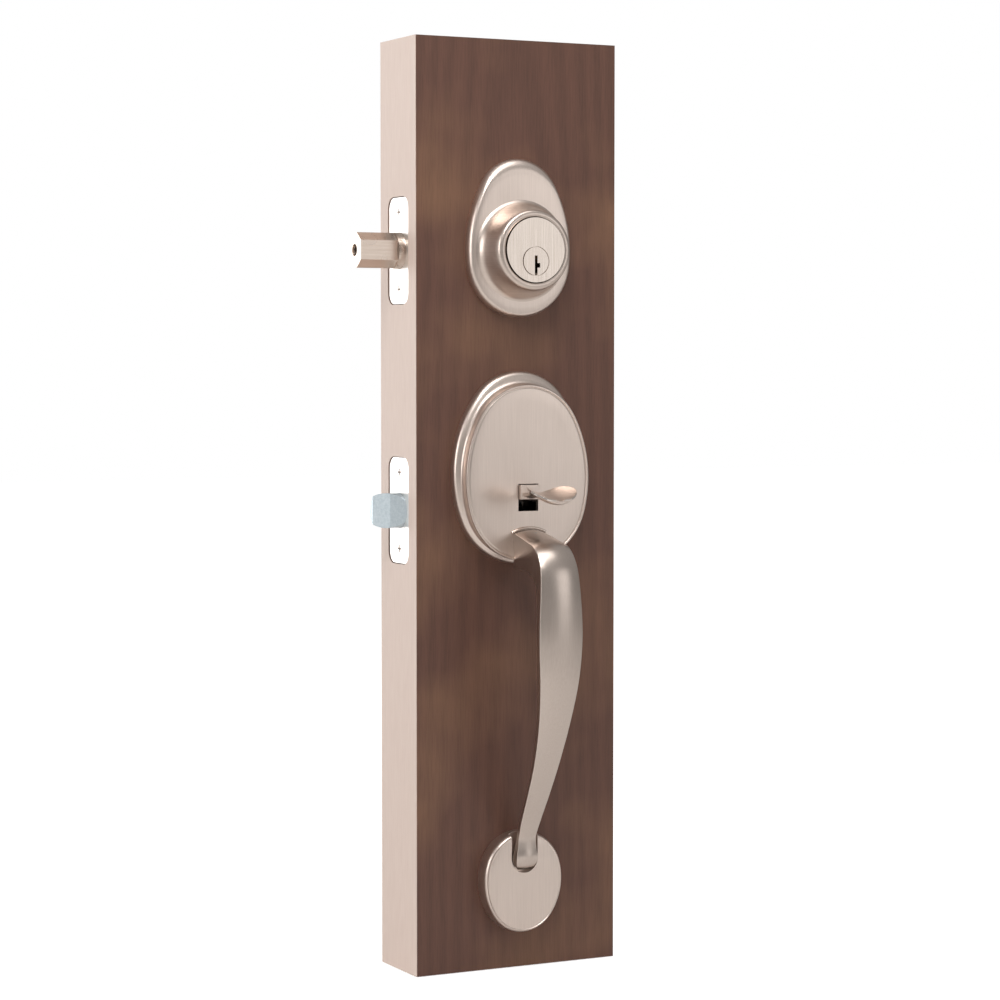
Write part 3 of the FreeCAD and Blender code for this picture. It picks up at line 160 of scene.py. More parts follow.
@dataclass(frozen=True)
class StainedWood:
    """Alder board, walnut stain on the face under matt lacquer, the sawn lock edge left pale."""

    name: str = "alder, walnut stained and lacquered"
    face: str = "#734d3e"
    dark: str = "#4a3025"
    glow: str = "#8a6449"
    edge: str = "#dccabf"
    edge_shade: str = "#cbb5a9"
    edge_at: float = 0.0
    grain_mm: float = 9.0
    grain_stretch: float = 0.07
    pores_per_m: tuple[float, float, float] = (2000.0, 2000.0, 80.0)
    clouds_per_m: float = 14.0

    def make(self) -> bpy.types.Material:
        """Builds long grain with pores along Z, blotchy stain and a pale edge.

        Returns:
            The material.
        """
        material, tree = fresh(self.name)
        place = add(tree, "TexCoord").outputs["Object"]
        # Growth rings cut at a slant give cathedral grain some 9 mm apart
        grain = 1 / (self.grain_mm * MM)
        long = add(tree, "Mapping", {"Scale": (grain, grain, grain * self.grain_stretch)},
                   {"Vector": place}).outputs[0]
        rings = add(tree, "TexWave", {"wave_type": "RINGS", "rings_direction": "Y", "Scale": 0.33,
                                      "Distortion": 5.0, "Detail": 3.0, "Detail Scale": 0.8},
                    {"Vector": long})
        # Pores are drawn 0.5 mm wide and 12 mm long
        fine = add(tree, "Mapping", {"Scale": self.pores_per_m}, {"Vector": place}).outputs[0]
        pores = add(tree, "TexNoise", {"Scale": 1.0, "Detail": 3.0}, {"Vector": fine})
        # Stain takes in clouds about 60 mm across
        cloud = add(tree, "TexNoise", {"Scale": self.clouds_per_m, "Detail": 2.5}, {"Vector": place})
        ring_blend = add(tree, "MapRange", {1: 0.0, 2: 1.0, 3: 0.4, 4: 0.6}, {0: rings.outputs[1]})
        base = add(tree, "Mix", {"data_type": "RGBA", 6: srgb(self.dark), 7: srgb(self.face)},
                   {0: ring_blend.outputs[0]})
        lit = add(tree, "MapRange", {1: 0.48, 2: 0.78, 3: 0.0, 4: 0.75}, {0: cloud.outputs[0]})
        warm = add(tree, "Mix", {"data_type": "RGBA", 7: srgb(self.glow)},
                   {0: lit.outputs[0], 6: base.outputs[2]})
        specks = add(tree, "MapRange", {1: 0.3, 2: 0.6, 3: 0.82, 4: 1.0}, {0: pores.outputs[0]})
        toned = add(tree, "Mix", {"data_type": "RGBA", "blend_type": "MULTIPLY", 0: 1.0},
                    {6: warm.outputs[2], 7: specks.outputs[0]})
        pale = add(tree, "Mix", {"data_type": "RGBA", 6: srgb(self.edge_shade), 7: srgb(self.edge)},
                   {0: pores.outputs[0]})
        across = add(tree, "SeparateXYZ", links={0: place}).outputs[0]
        is_edge = add(tree, "Math", {"operation": "LESS_THAN", 1: self.edge_at}, {0: across})
        colour = add(tree, "Mix", {"data_type": "RGBA"}, {0: is_edge.outputs[0], 6: toned.outputs[2],
                                                          7: pale.outputs[2]})
        bump = add(tree, "Bump", {"Strength": 0.3, "Distance": 0.05 * MM}, {"Height": pores.outputs[0]})
        shader = add(tree, "BsdfPrincipled", {"Roughness": 0.55, "IOR": 1.5},
                     {"Base Color": colour.outputs[2], "Normal": bump.outputs[0]})
        add(tree, "OutputMaterial", links={"Surface": shader.outputs[0]})
        return material


# A warm soft sheen, fine upright streaks and no clear reflection
SATIN = BrushedMetal("zinc casting, satin nickel plated and brushed upright", "#dfd0c6", "#d5c6bc", 0.35)
# The same plating with level marks, so that round parts catch the light in an upright band
SATIN_LEVEL = BrushedMetal("zinc casting, satin nickel plated and turned", "#d9cac0", "#ccbdb2", 0.33,
                           Lay.LEVEL)
# The same plating, darker as a painted shade over the whole grip, and glossier, so that the grip's flanks
# part clearly from its crown
GRIP_SATIN_SHADED = BrushedMetal("zinc casting, satin nickel plated, belt brushed along the grip", "#cdc0b7",
                          "#c4b6ac", 0.31)
# Glossier than the satin, and lighter in colour as a painted highlight: a thin bright line that sets an edge
# off from the satin beside it
RIM_PAINTED_HIGHLIGHT = BrushedMetal("nickel plating, edge buffed bright", "#eee5de", "#e2d7cf", 0.12, Lay.NONE, 0.002)
# Long marks in the bolt's own direction of travel and a tighter highlight
BOLT = BrushedMetal("steel bolt, satin nickel plated, brushed lengthways", "#d8c9bd", "#c9b8ab", 0.27,
                    Lay.LONG)
# Almost white and even, the brightest metal on the lock edge
FACEPLATE = BrushedMetal("steel strip, bright nickel plated", "#f6f2ef", "#eee9e5", 0.30, Lay.UPRIGHT, 0.006)
# Small mottled heads without a brushed direction
SCREW = BrushedMetal("steel screw, nickel plated and tumbled", "#dcd5d0", "#c2bab4", 0.25, Lay.NONE, 0.01)
# Flat and clean, a sharper mirror than the collar round it
PLUG = BrushedMetal("brass plug, nickel plated and lapped", "#d8cdc4", "#c5b8ad", 0.24, Lay.UPRIGHT, 0.008)
# Dull cool grey, for plates and cases that only a workshop sees
ZINC = BrushedMetal("steel, zinc plated and tumbled", "#c9ccce", "#aeb3b8", 0.38, Lay.NONE, 0.02)
# Yellow with fine turning marks
BRASS = BrushedMetal("brass, drawn and turned", "#c9a45a", "#a98242", 0.30, Lay.LEVEL, 0.01)
# Grey wire with a narrow highlight along each turn
SPRING = BrushedMetal("spring steel, drawn bright", "#b4b6b9", "#93969a", 0.28, Lay.NONE, 0.01)
# Near black: real black oxide on the pin and the snap ring, and on the groove's cutter a painted shade, so
# that it reads as a dark line or pin against the plating
BLACK_OXIDE_AND_GAP_SHADE = BrushedMetal("hardened steel, black oxide", "#3a3532", "#241f1d", 0.42, Lay.NONE, 0.01)
# Cool and slightly grainy, plainly duller than the nickel beside it
LATCH_ZINC = BrushedMetal("sintered latch bolt, blue-white zinc plated", "#cfd8dd", "#bcc8ce", 0.45, Lay.NONE,
                          0.03, 0.12)
MADE: dict[str, bpy.types.Material] = {}


def finish_of(finish: BrushedMetal | StainedWood) -> bpy.types.Material:
    """Returns a finish's material, built the first time it is asked for."""
    if finish.name not in MADE:
        MADE[finish.name] = finish.make()
    return MADE[finish.name]


def dress_node(name: str, finish: BrushedMetal | StainedWood) -> None:
    """Gives a CAD node a finish."""
    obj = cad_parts[name]
    obj.data.materials.clear()
    obj.data.materials.append(finish_of(finish))


def smooth_edges(bm: bmesh.types.BMesh, smooth_deg: float) -> None:
    """Makes every face smooth, and leaves the edges sharper than an angle crisp.

    Args:
        bm: The mesh being worked on.
        smooth_deg: Edges sharper than this stay crisp.
    """
    limit = math.radians(smooth_deg)
    for edge in bm.edges:
        edge.smooth = len(edge.link_faces) == 2 and edge.calc_face_angle(0.0) < limit
    for face in bm.faces:
        face.smooth = True


def mesh_piece(name: str, verts: Sequence[Vector], faces: Sequence[Sequence[int]],
               finish: BrushedMetal | None = None, smooth_deg: float = 32.0) -> bpy.types.Object:
    """Makes a mesh object, its normals outwards and its edges smooth up to an angle.

    Args:
        name: The piece's name.
        verts: Corners in millimetres.
        faces: Corner numbers of each face.
        finish: The finish of the whole piece.
        smooth_deg: Edges sharper than this stay crisp.

    Returns:
        The new object, linked to the scene.
    """
    mesh = bpy.data.meshes.new(name)
    mesh.from_pydata([tuple(v * MM) for v in verts], [], [tuple(f) for f in faces])
    bm = bmesh.new()
    bm.from_mesh(mesh)
    bmesh.ops.remove_doubles(bm, verts=bm.verts, dist=WELD)
    bmesh.ops.recalc_face_normals(bm, faces=bm.faces)
    smooth_edges(bm, smooth_deg)
    bm.to_mesh(mesh)
    bm.free()
    obj = bpy.data.objects.new(name, mesh)
    bpy.context.scene.collection.objects.link(obj)
    if finish:
        mesh.materials.append(finish_of(finish))
    return obj


def loft_faces(rings: int, count: int, closed: bool = False) -> list[list[int]]:
    """Lists the faces between rings of the same number of corners.

    Args:
        rings: How many rings there are.
        count: How many corners each ring has.
        closed: Whether the last ring joins the first, in place of a cap on each.

    Returns:
        The corner numbers of each face.
    """
    faces = []
    for ring in range(rings if closed else rings - 1):
        here, there = ring * count, ((ring + 1) % rings) * count
        for index in range(count):
            after = (index + 1) % count
            faces.append([here + index, here + after, there + after, there + index])
    if not closed:
        faces.append(list(range(count))[::-1])
        faces.append([(rings - 1) * count + index for index in range(count)])
    return faces


def loft(name: str, rings: Sequence[Ring], finish: BrushedMetal, smooth_deg: float = 32.0,
         closed: bool = False) -> bpy.types.Object:
    """Skins a list of rings; closed joins the last ring to the first, as round a tunnel."""
    verts = [vert for ring in rings for vert in ring]
    return mesh_piece(name, verts, loft_faces(len(rings), len(rings[0]), closed=closed), finish, smooth_deg)


def lathe(name: str, profile: Profile, face_y: float, height: float, finish: BrushedMetal,
          steps: int = 128) -> bpy.types.Object:
    """Turns a closed profile about a line along Y, on the outside of the door.

    Args:
        name: The piece's name.
        profile: Corners as (out from the face, radius), mm.
        face_y: The door face's y, mm.
        height: The axis's z, mm.
        finish: The piece's finish.
        steps: How many sides the round has.

    Returns:
        The turned piece.
    """
    rings = []
    for out, radius in profile:
        rings.append([Vector((radius * math.cos(turn), face_y - out, height + radius * math.sin(turn)))
                      for turn in (2 * math.pi * step / steps for step in range(steps))])
    return loft(name, rings, finish, closed=True)


def fillet(profile: Profile, radii: Sequence[float], steps: int) -> list[tuple[float, float]]:
    """Rounds the inner corners of an open profile.

    Args:
        profile: The corners.
        radii: One radius for each corner, 0 for a sharp one.
        steps: How many chords a round has.

    Returns:
        The profile with arcs in place of corners.
    """
    out: list[tuple[float, float]] = []
    for index, (corner, radius) in enumerate(zip(profile, radii)):
        here = Vector(corner)
        if radius <= 0 or index in (0, len(profile) - 1):
            out.append(tuple(here))
            continue
        before = Vector(profile[index - 1]) - here
        after = Vector(profile[index + 1]) - here
        half = before.angle(after) / 2
        reach = min(radius / math.tan(half), before.length * 0.49, after.length * 0.49)
        start, end = here + before.normalized() * reach, here + after.normalized() * reach
        for step in range(steps + 1):
            share = step / steps
            out.append(tuple(start * (1 - share) ** 2 + here * 2 * share * (1 - share) + end * share ** 2))
    return out


@dataclass(frozen=True)
class Egg:
    """An egg outline of four arcs that meet smoothly, narrow end up, mm."""

    half: float
    top: float
    bottom: float
    side: float
    centre: float

    def ring(self, y: float, trim: float = 0.0, per_arc: int = 26) -> Ring:
        """Draws the outline at one y.

        Args:
            y: Where the ring stands, mm.
            trim: The width taken off all round, mm.
            per_arc: How many corners each of the four arcs gets.

        Returns:
            The ring.
        """
        points: Ring = []
        reach = self.side - self.half
        arcs = []
        for end in (self.top, self.bottom):
            over = self.side - end
            middle = (reach ** 2 - over ** 2) / (2 * over)
            arcs.append((middle, end - middle, math.atan2(middle, reach)))
        (high, round_high, lean_high), (low, round_low, lean_low) = arcs
        stretches = ((-reach, 0.0, self.side, -lean_low, lean_high),
                     (0.0, high, round_high, lean_high, math.pi - lean_high),
                     (reach, 0.0, self.side, math.pi - lean_high, math.pi + lean_low),
                     (0.0, -low, round_low, math.pi + lean_low, 2 * math.pi - lean_low))
        for across, up, radius, start, stop in stretches:
            for step in range(per_arc):
                turn = start + (stop - start) * step / per_arc
                points.append(Vector((across + (radius - trim) * math.cos(turn), y,
                                      self.centre + up + (radius - trim) * math.sin(turn))))
        return points


def blend_rings(first: Ring, second: Ring, share: float, y: float) -> Ring:
    """A ring part of the way between two, at a y of its own."""
    mixed = [a.lerp(b, share) for a, b in zip(first, second)]
    return [Vector((spot.x, y, spot.z)) for spot in mixed]


def carve(obj: bpy.types.Object, *cutters: bpy.types.Object) -> bpy.types.Object:
    """Cuts closed shapes out of a piece and deletes them.

    Args:
        obj: The piece.
        *cutters: What is cut out of it.

    Returns:
        The same piece, with its cuts made.
    """
    for cutter in cutters:
        modifier = obj.modifiers.new("carve", "BOOLEAN")
        modifier.operation = "DIFFERENCE"
        modifier.solver = "EXACT"
        modifier.object = cutter
    bpy.context.view_layer.update()
    evaluated = obj.evaluated_get(bpy.context.evaluated_depsgraph_get())
    result = bpy.data.meshes.new_from_object(evaluated)
    obj.modifiers.clear()
    obj.data = result
    for cutter in cutters:
        bpy.data.objects.remove(cutter)
    crisp(obj)
    return obj


def crisp(obj: bpy.types.Object, smooth_deg: float = 30.0) -> None:
    """Marks a finished piece's edges smooth up to an angle."""
    bm = bmesh.new()
    bm.from_mesh(obj.data)
    smooth_edges(bm, smooth_deg)
    bm.to_mesh(obj.data)
    bm.free()


def ease(obj: bpy.types.Object, width_mm: float, angle_deg: float = 35.0, segments: int = 3) -> None:
    """Adds a small rounded bevel on every sharp edge.

    Args:
        obj: The piece.
        width_mm: The bevel's width.
        angle_deg: Edges flatter than this are left alone.
        segments: How many chords the round has.
    """
    modifier = obj.modifiers.new("eased edges", "BEVEL")
    modifier.width = width_mm * MM
    modifier.segments = segments
    modifier.limit_method = "ANGLE"
    modifier.angle_limit = math.radians(angle_deg)
    modifier.harden_normals = True


def prism(name: str, outline: Sequence[tuple[float, float]], low: float, high: float, axis: int,
          finish: BrushedMetal | None = None) -> bpy.types.Object:
    """Stretches a flat outline along one axis.

    Args:
        name: The piece's name.
        outline: Corners in the two other axes, in X, Y, Z order, mm.
        low: Where it starts along the axis, mm.
        high: Where it ends.
        axis: 0, 1 or 2.
        finish: The piece's finish.

    Returns:
        The prism.
    """
    rings = []
    for level in (low, high):
        ring = []
        for first, second in outline:
            spot = [first, second]
            spot.insert(axis, level)
            ring.append(Vector(spot))
        rings.append(ring)
    verts = rings[0] + rings[1]
    return mesh_piece(name, verts, loft_faces(2, len(outline)), finish)


def circle(across: float, up: float, radius: float, steps: int = 48) -> list[tuple[float, float]]:
    """The corners of a round outline."""
    turns = [2 * math.pi * step / steps for step in range(steps)]
    return [(across + radius * math.cos(turn), up + radius * math.sin(turn)) for turn in turns]


def merge(main_piece: bpy.types.Object, *others: bpy.types.Object) -> bpy.types.Object:
    """Puts other pieces' meshes into the first one's, keeping the materials, and deletes them.

    Args:
        main_piece: The piece that takes the others in.
        *others: The pieces that go into it.

    Returns:
        The first piece.
    """
    materials = list(main_piece.data.materials)
    bm = bmesh.new()
    for part in (main_piece, *others):
        start = len(bm.faces)
        bm.from_mesh(part.data)
        bm.faces.ensure_lookup_table()
        names = list(part.data.materials)
        for face in bm.faces[start:]:
            finish = names[face.material_index] if names else materials[0]
            if finish not in materials:
                materials.append(finish)
            face.material_index = materials.index(finish)
    main_piece.data.materials.clear()
    bm.to_mesh(main_piece.data)
    bm.free()
    for finish in materials:
        main_piece.data.materials.append(finish)
    for part in others:
        bpy.data.objects.remove(part)
    crisp(main_piece)
    return main_piece


def reworked(name: str, node: str, finish: BrushedMetal) -> bpy.types.Object:
    """Copies a CAD node's shape, joined up into one skin, for more work on it.

    Args:
        name: The new piece's name.
        node: The CAD node.
        finish: The piece's finish.

    Returns:
        The copy, linked to the scene.
    """
    obj = bpy.data.objects.new(name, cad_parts[node].data.copy())
    bpy.context.scene.collection.objects.link(obj)
    bm = bmesh.new()
    bm.from_mesh(obj.data)
    bmesh.ops.remove_doubles(bm, verts=bm.verts, dist=CAD_WELD)
    bm.to_mesh(obj.data)
    bm.free()
    obj.data.materials.clear()
    obj.data.materials.append(finish_of(finish))
    crisp(obj)
    return obj


def show(piece: bpy.types.Object, body: str, slot: str, *nodes: str) -> None:
    """Rides a piece on a body and hides the nodes that it stands for.

    Args:
        piece: The piece.
        body: The body that carries it.
        slot: The material slot's name; not used.
        *nodes: The CAD nodes that it replaces.
    """
    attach(piece, body)
    if nodes:
        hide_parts(*nodes)
    LOG.info("%s rides on %s", piece.name, body)


def dress(names: Sequence[str], finish: BrushedMetal | StainedWood, ease_mm: float = 0.0) -> None:
    """Gives CAD nodes a finish and a material slot, and rounds their edges a little.

    Args:
        names: The nodes.
        finish: Their finish.
        ease_mm: The width of the rounding, 0 for none.
    """
    for name in names:
        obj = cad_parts[name]
        dress_node(name, finish)
        if ease_mm:
            weld = obj.modifiers.new("weld", "WELD")
            weld.merge_threshold = CAD_WELD
            ease(obj, ease_mm)
    LOG.info("dressed %s", ", ".join(names))


def smooth_path(rows: Sequence[Sequence[float]], per_span: int) -> list[list[float]]:
    """Fills in rows of numbers with a Catmull-Rom curve through all of them.

    Args:
        rows: The numbers at each station.
        per_span: How many rows each gap gets.

    Returns:
        The stations and the rows between them.
    """
    filled = []
    for index in range(len(rows) - 1):
        before, here = rows[max(index - 1, 0)], rows[index]
        there, after = rows[index + 1], rows[min(index + 2, len(rows) - 1)]
        for step in range(per_span):
            t = step / per_span
            filled.append([0.5 * (2 * b + (c - a) * t + (2 * a - 5 * b + 4 * c - d) * t ** 2
                                  + (3 * b - a - 3 * c + d) * t ** 3)
                           for a, b, c, d in zip(before, here, there, after)])
    filled.append(list(rows[-1]))
    return filled


@dataclass
class Rose:
    """A rose lofted from its egg-shaped foot to a smaller face, mm."""

    name: str
    base: Egg
    face: Egg
    rings: Sequence[tuple[float, float, float]]
    hollow: tuple[float, float]
    door_face: float

    def build(self) -> bpy.types.Object:
        """Skins the rings, each (out, share of the way to the face, trim), and hollows the back.

        Returns:
            The rose.
        """
        skins = []
        for out, share, trim in self.rings:
            y = self.door_face - out
            skins.append(blend_rings(self.base.ring(y, trim), self.face.ring(y, trim), share, y))
        rose = loft(self.name, skins, SATIN, 28.0)
        trim, depth = self.hollow
        inside = [self.face.ring(self.door_face + 1.0, trim), self.face.ring(self.door_face - depth, trim)]
        return carve(rose, loft("hollow", inside, SATIN))


@dataclass
class Grip:
    """The curved pull, with a crisp line between its flanks and its crowned front, mm."""

    door_face: float
    back_share: float = 0.9
    crown_rise: float = 0.22
    back_round: float = 1.6
    crease_round: float = 0.6
    lip_gap: float = 0.25
    lip_width: float = 1.3
    lip_out: float = 15.4
    lip_back: float = 13.2
    lip_from_z: float = 223.6
    lip_middle_z: float = 229.0
    crown_steps: int = 18
    stations: Sequence[tuple[float, float, float, float, float]] = (
        (13.4, 219.2, 13.4, 240.2, 9.4), (18.0, 218.9, 18.0, 239.6, 9.6), (27.0, 218.2, 28.5, 237.4, 10.0),
        (35.5, 216.0, 42.0, 233.6, 10.5), (40.8, 211.6, 50.2, 224.4, 11.0), (43.4, 205.5, 53.5, 211.0, 11.8),
        (44.9, 193.0, 54.65, 194.0, 12.7), (45.2, 177.0, 54.4, 178.5, 12.7), (43.5, 157.5, 52.4, 160.0, 11.4),
        (38.6, 135.5, 46.4, 138.5, 9.3), (30.3, 113.0, 37.2, 116.5, 7.6), (20.6, 94.0, 27.0, 97.5, 6.6),
        (12.8, 80.8, 18.8, 83.2, 5.9), (9.2, 74.0, 15.0, 75.2, 5.3), (8.4, 71.5, 14.0, 72.2, 5.3),
        (7.2, 67.0, 14.2, 67.2, 5.6), (6.2, 61.5, 14.6, 61.8, 6.4), (5.9, 57.8, 12.8, 57.4, 5.7),
        (5.8, 55.6, 9.5, 55.0, 3.8))

    def section(self, row: Sequence[float]) -> Ring:
        """Draws one ring of the grip.

        Args:
            row: Back out, back z, front out, front z and half width.

        Returns:
            The ring.
        """
        back = Vector((0, self.door_face - row[0], row[1]))
        through = Vector((0, self.door_face - row[2], row[3])) - back
        half, depth = row[4], through.length
        rise = min(half * self.crown_rise, depth * 0.4)
        radius = (half ** 2 + rise ** 2) / (2 * rise)
        across = [half * (1 - 2 * step / self.crown_steps) for step in range(1, self.crown_steps)]
        arc = [(u, depth - radius + math.sqrt(max(radius ** 2 - u ** 2, 0.0))) for u in across]
        outline = [(0.0, 0.0), (half * self.back_share, 0.0), (half, depth - rise), *arc,
                   (-half, depth - rise), (-half * self.back_share, 0.0), (0.0, 0.0)]
        radii = [0.0, self.back_round, self.crease_round, *[0.0] * len(arc), self.crease_round,
                 self.back_round, 0.0]
        along = through.normalized()
        return [back + Vector((u, 0, 0)) + along * v for u, v in fillet(outline, radii, 5)[:-1]]

    def build(self) -> bpy.types.Object:
        """Skins the stations."""
        rings = [self.section(row) for row in smooth_path(self.stations, 7)]
        # The grip's finish is the satin nickel darkened as painted shade
        return loft("grip_pull", rings, GRIP_SATIN_SHADED, 24.0)

    def build_lip(self) -> bpy.types.Object:
        """Builds the arched lip on the rose, round the grip's root, lighter in colour as a painted highlight.

        Returns:
            The lip.
        """
        root = self.section(self.stations[0])
        middle = Vector((0, root[0].y, self.lip_middle_z))
        path = sorted((spot for spot in root if spot.z > self.lip_from_z), key=lambda spot: (-spot.x, spot.z))
        rings = []
        for spot in path:
            away = (spot - middle).normalized()
            rings.append([Vector((spot.x, self.door_face - out, spot.z)) + away * (self.lip_gap + wide)
                          for out, wide in ((self.lip_back, 0.0), (self.lip_out - 0.4, 0.0),
                                            (self.lip_out, 0.4), (self.lip_out, self.lip_width - 0.5),
                                            (self.lip_out - 0.6, self.lip_width),
                                            (self.lip_back, self.lip_width))])
        return loft("grip_lip", rings, RIM_PAINTED_HIGHLIGHT, 50.0)


@dataclass
class Thumbpiece:
    """The thumb lever: stem in the rose's slot, narrow neck and dished paddle whose rim carries a painted
    highlight, mm.
    """

    door_face: float
    base_z: float
    rose_out: float
    across: int = 16
    highlight_rim_after: int = 8
    stations: Sequence[tuple[float, float, float, float, float]] = (
        (1.4, 8.4, 4.6, 0.1, 3.4), (5.0, 8.3, 3.5, 0.2, 2.9), (8.5, 8.6, 3.6, 0.6, 2.5),
        (12.0, 9.2, 5.8, 1.5, 2.1), (16.0, 9.1, 8.8, 3.2, 1.9), (20.0, 8.4, 11.4, 4.5, 1.9),
        (25.0, 7.2, 13.3, 5.3, 1.9),
        (29.0, 6.3, 13.4, 5.1, 1.9), (32.5, 5.7, 11.9, 4.0, 1.9), (35.2, 5.6, 9.0, 2.5, 1.8),
        (36.6, 5.8, 5.6, 1.3, 1.6), (37.0, 6.0, 2.6, 0.9, 1.4))

    def section(self, row: Sequence[float]) -> Ring:
        """Draws one ring of the paddle.

        Args:
            row: Out, middle height, half width, rim's rise and thickness.

        Returns:
            The ring.
        """
        out, up, half, curl, thick = row
        y, middle = self.door_face - self.rose_out - out, self.base_z + up
        top, low = [], []
        for step in range(self.across + 1):
            share = 1 - 2 * step / self.across
            rise = curl * share ** 2
            thin = thick * (1 - 0.45 * share ** 2)
            top.append(Vector((half * share, y, middle + rise + thick / 2)))
            low.append(Vector((half * share, y, middle + rise + thick / 2 - thin)))
        return top + low[::-1]

    def build(self) -> bpy.types.Object:
        """Skins the paddle and gives its rim a painted highlight.

        Returns:
            The paddle.
        """
        rings = [self.section(row) for row in smooth_path(self.stations, 5)]
        paddle = loft("thumbpiece_paddle", rings, SATIN_LEVEL, 40.0)
        paddle.data.materials.append(finish_of(RIM_PAINTED_HIGHLIGHT))
        # The two side edges of the paddle's outer end get the painted highlight finish
        corners = 2 * (self.across + 1)
        for face in paddle.data.polygons:
            ring, place = divmod(face.index, corners)
            if ring > self.highlight_rim_after and place in (self.across, corners - 1):
                face.material_index = 1
        ease(paddle, 0.3, 50.0)
        return paddle


@dataclass
class DoorSample:
    """The wooden sample block that holds the lock set."""

    edge_depth_mm: float = 0.4

    def dress(self) -> None:
        """Stains the board and leaves its lock edge pale."""
        low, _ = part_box("door_block")
        wood = StainedWood(edge_at=low.x + self.edge_depth_mm * MM)
        dress(["door_block"], wood)


@dataclass
class Deadbolt:
    """The deadbolt: outside cylinder, bolt in the door and inside thumbturn."""

    ease_mm: float = 0.35
    door_face: float = -22.225
    bolt_z: float = 389.7
    plug_z: float = 383.7
    opening: float = 24.15
    screw_side: float = 11.25
    screw_rise: float = 19.5
    post_radius: float = 3.6
    groove: tuple[float, float, float, float] = (21.9, 24.0, 7.3, 7.95)
    base: Egg = Egg(31.0, 49.6, 35.8, 75.0, 389.7)
    face: Egg = Egg(29.6, 43.6, 34.4, 75.0, 389.7)

    def build(self) -> None:
        """Builds the rose and the collar outside."""
        show(self._rose(), "root", "satin_nickel", "deadbolt_rose")
        show(self._collar(), "root", "satin_nickel", "cylinder_collar")
        show(self._cylinder_face(), "root", "nickel_on_brass", "cylinder_body")

    def _rose(self) -> bpy.types.Object:
        """Builds a rose whose shoulder rolls over, with the opening for the collar.

        Returns:
            The rose.
        """
        rings = [(0.0, 0.0, 0.0), (0.9, 0.0, 0.0)]
        for step in range(1, 13):
            turn = math.pi / 2 * step / 12
            rings.append((0.9 + 4.85 * math.sin(turn), 1 - math.cos(turn), 1.1 * (1 - math.cos(turn))))
        rings += [(5.9, 1.0, 2.2), (5.98, 1.0, 4.0)]
        rose = Rose("deadbolt_rose_shell", self.base, self.face, rings, (2.4, 3.8), self.door_face).build()
        hole = prism("opening", circle(0.0, self.bolt_z, self.opening, 96), self.door_face + 2,
                     self.door_face - 8, 1)
        return carve(rose, hole)

    def _cylinder_face(self) -> bpy.types.Object:
        """Cuts the fine dark groove round the plug into the cylinder.

        Returns:
            The cylinder.
        """
        face = reworked("cylinder_front", "cylinder_body", PLUG)
        low, high, inner, outer = self.groove
        # The cutter is near black, as painted shade for the gap round the plug
        groove = lathe("groove", ((high, inner), (high, outer), (low, outer), (low, inner)), self.door_face,
                       self.plug_z, BLACK_OXIDE_AND_GAP_SHADE)
        face = carve(face, groove)
        ease(face, 0.2)
        return face

    def _collar(self) -> bpy.types.Object:
        """Builds the flared collar with its rounded rim, and the two posts behind it.

        Returns:
            The collar.
        """
        outline = ((-0.3, 18.7), (-0.3, 24.0), (5.9, 24.0), (5.95, 27.4), (6.2, 26.8), (6.8, 26.0),
                   (8.0, 25.1), (10.5, 24.1), (14.0, 23.1), (18.0, 22.1), (20.3, 21.5), (21.2, 21.05),
                   (21.75, 20.4), (22.0, 19.5), (22.0, 18.5), (21.75, 17.85), (20.8, 17.55),
                   (7.05, 17.5), (7.05, 18.7))
        collar = lathe("cylinder_collar_flare", outline, self.door_face, self.bolt_z, SATIN_LEVEL)
        posts = [prism("post", circle(side * self.screw_side, self.bolt_z + side * self.screw_rise,
                                      self.post_radius), self.door_face - 1.5, self.door_face + 12, 1, SATIN)
                 for side in (-1, 1)]
        return merge(collar, *posts)

    def dress(self) -> None:
        """Finishes the deadbolt's CAD nodes."""
        dress(["cylinder_plug"], PLUG, 0.4)
        dress(["cylinder_snap_ring"], BLACK_OXIDE_AND_GAP_SHADE)
        dress(["plug_clip", "pin_springs"], SPRING)
        dress(["key_pins", "driver_pins", "spring_cover"], BRASS)
        dress(["deadbolt_tailpiece", "deadbolt_case", "deadbolt_crank", "thumbturn_plate", "deadbolt_screws",
               "thumbturn_clip"], ZINC)
        dress(["hardened_pin"], BLACK_OXIDE_AND_GAP_SHADE)
        dress(["deadbolt_faceplate"], FACEPLATE, 0.15)
        dress(["deadbolt_backplate"], ZINC)
        dress(["deadbolt_plate_screws"], SCREW, 0.1)
        dress(["deadbolt_bolt"], BOLT, 0.5)
        dress(["thumbturn_rose", "thumbturn"], SATIN, self.ease_mm)


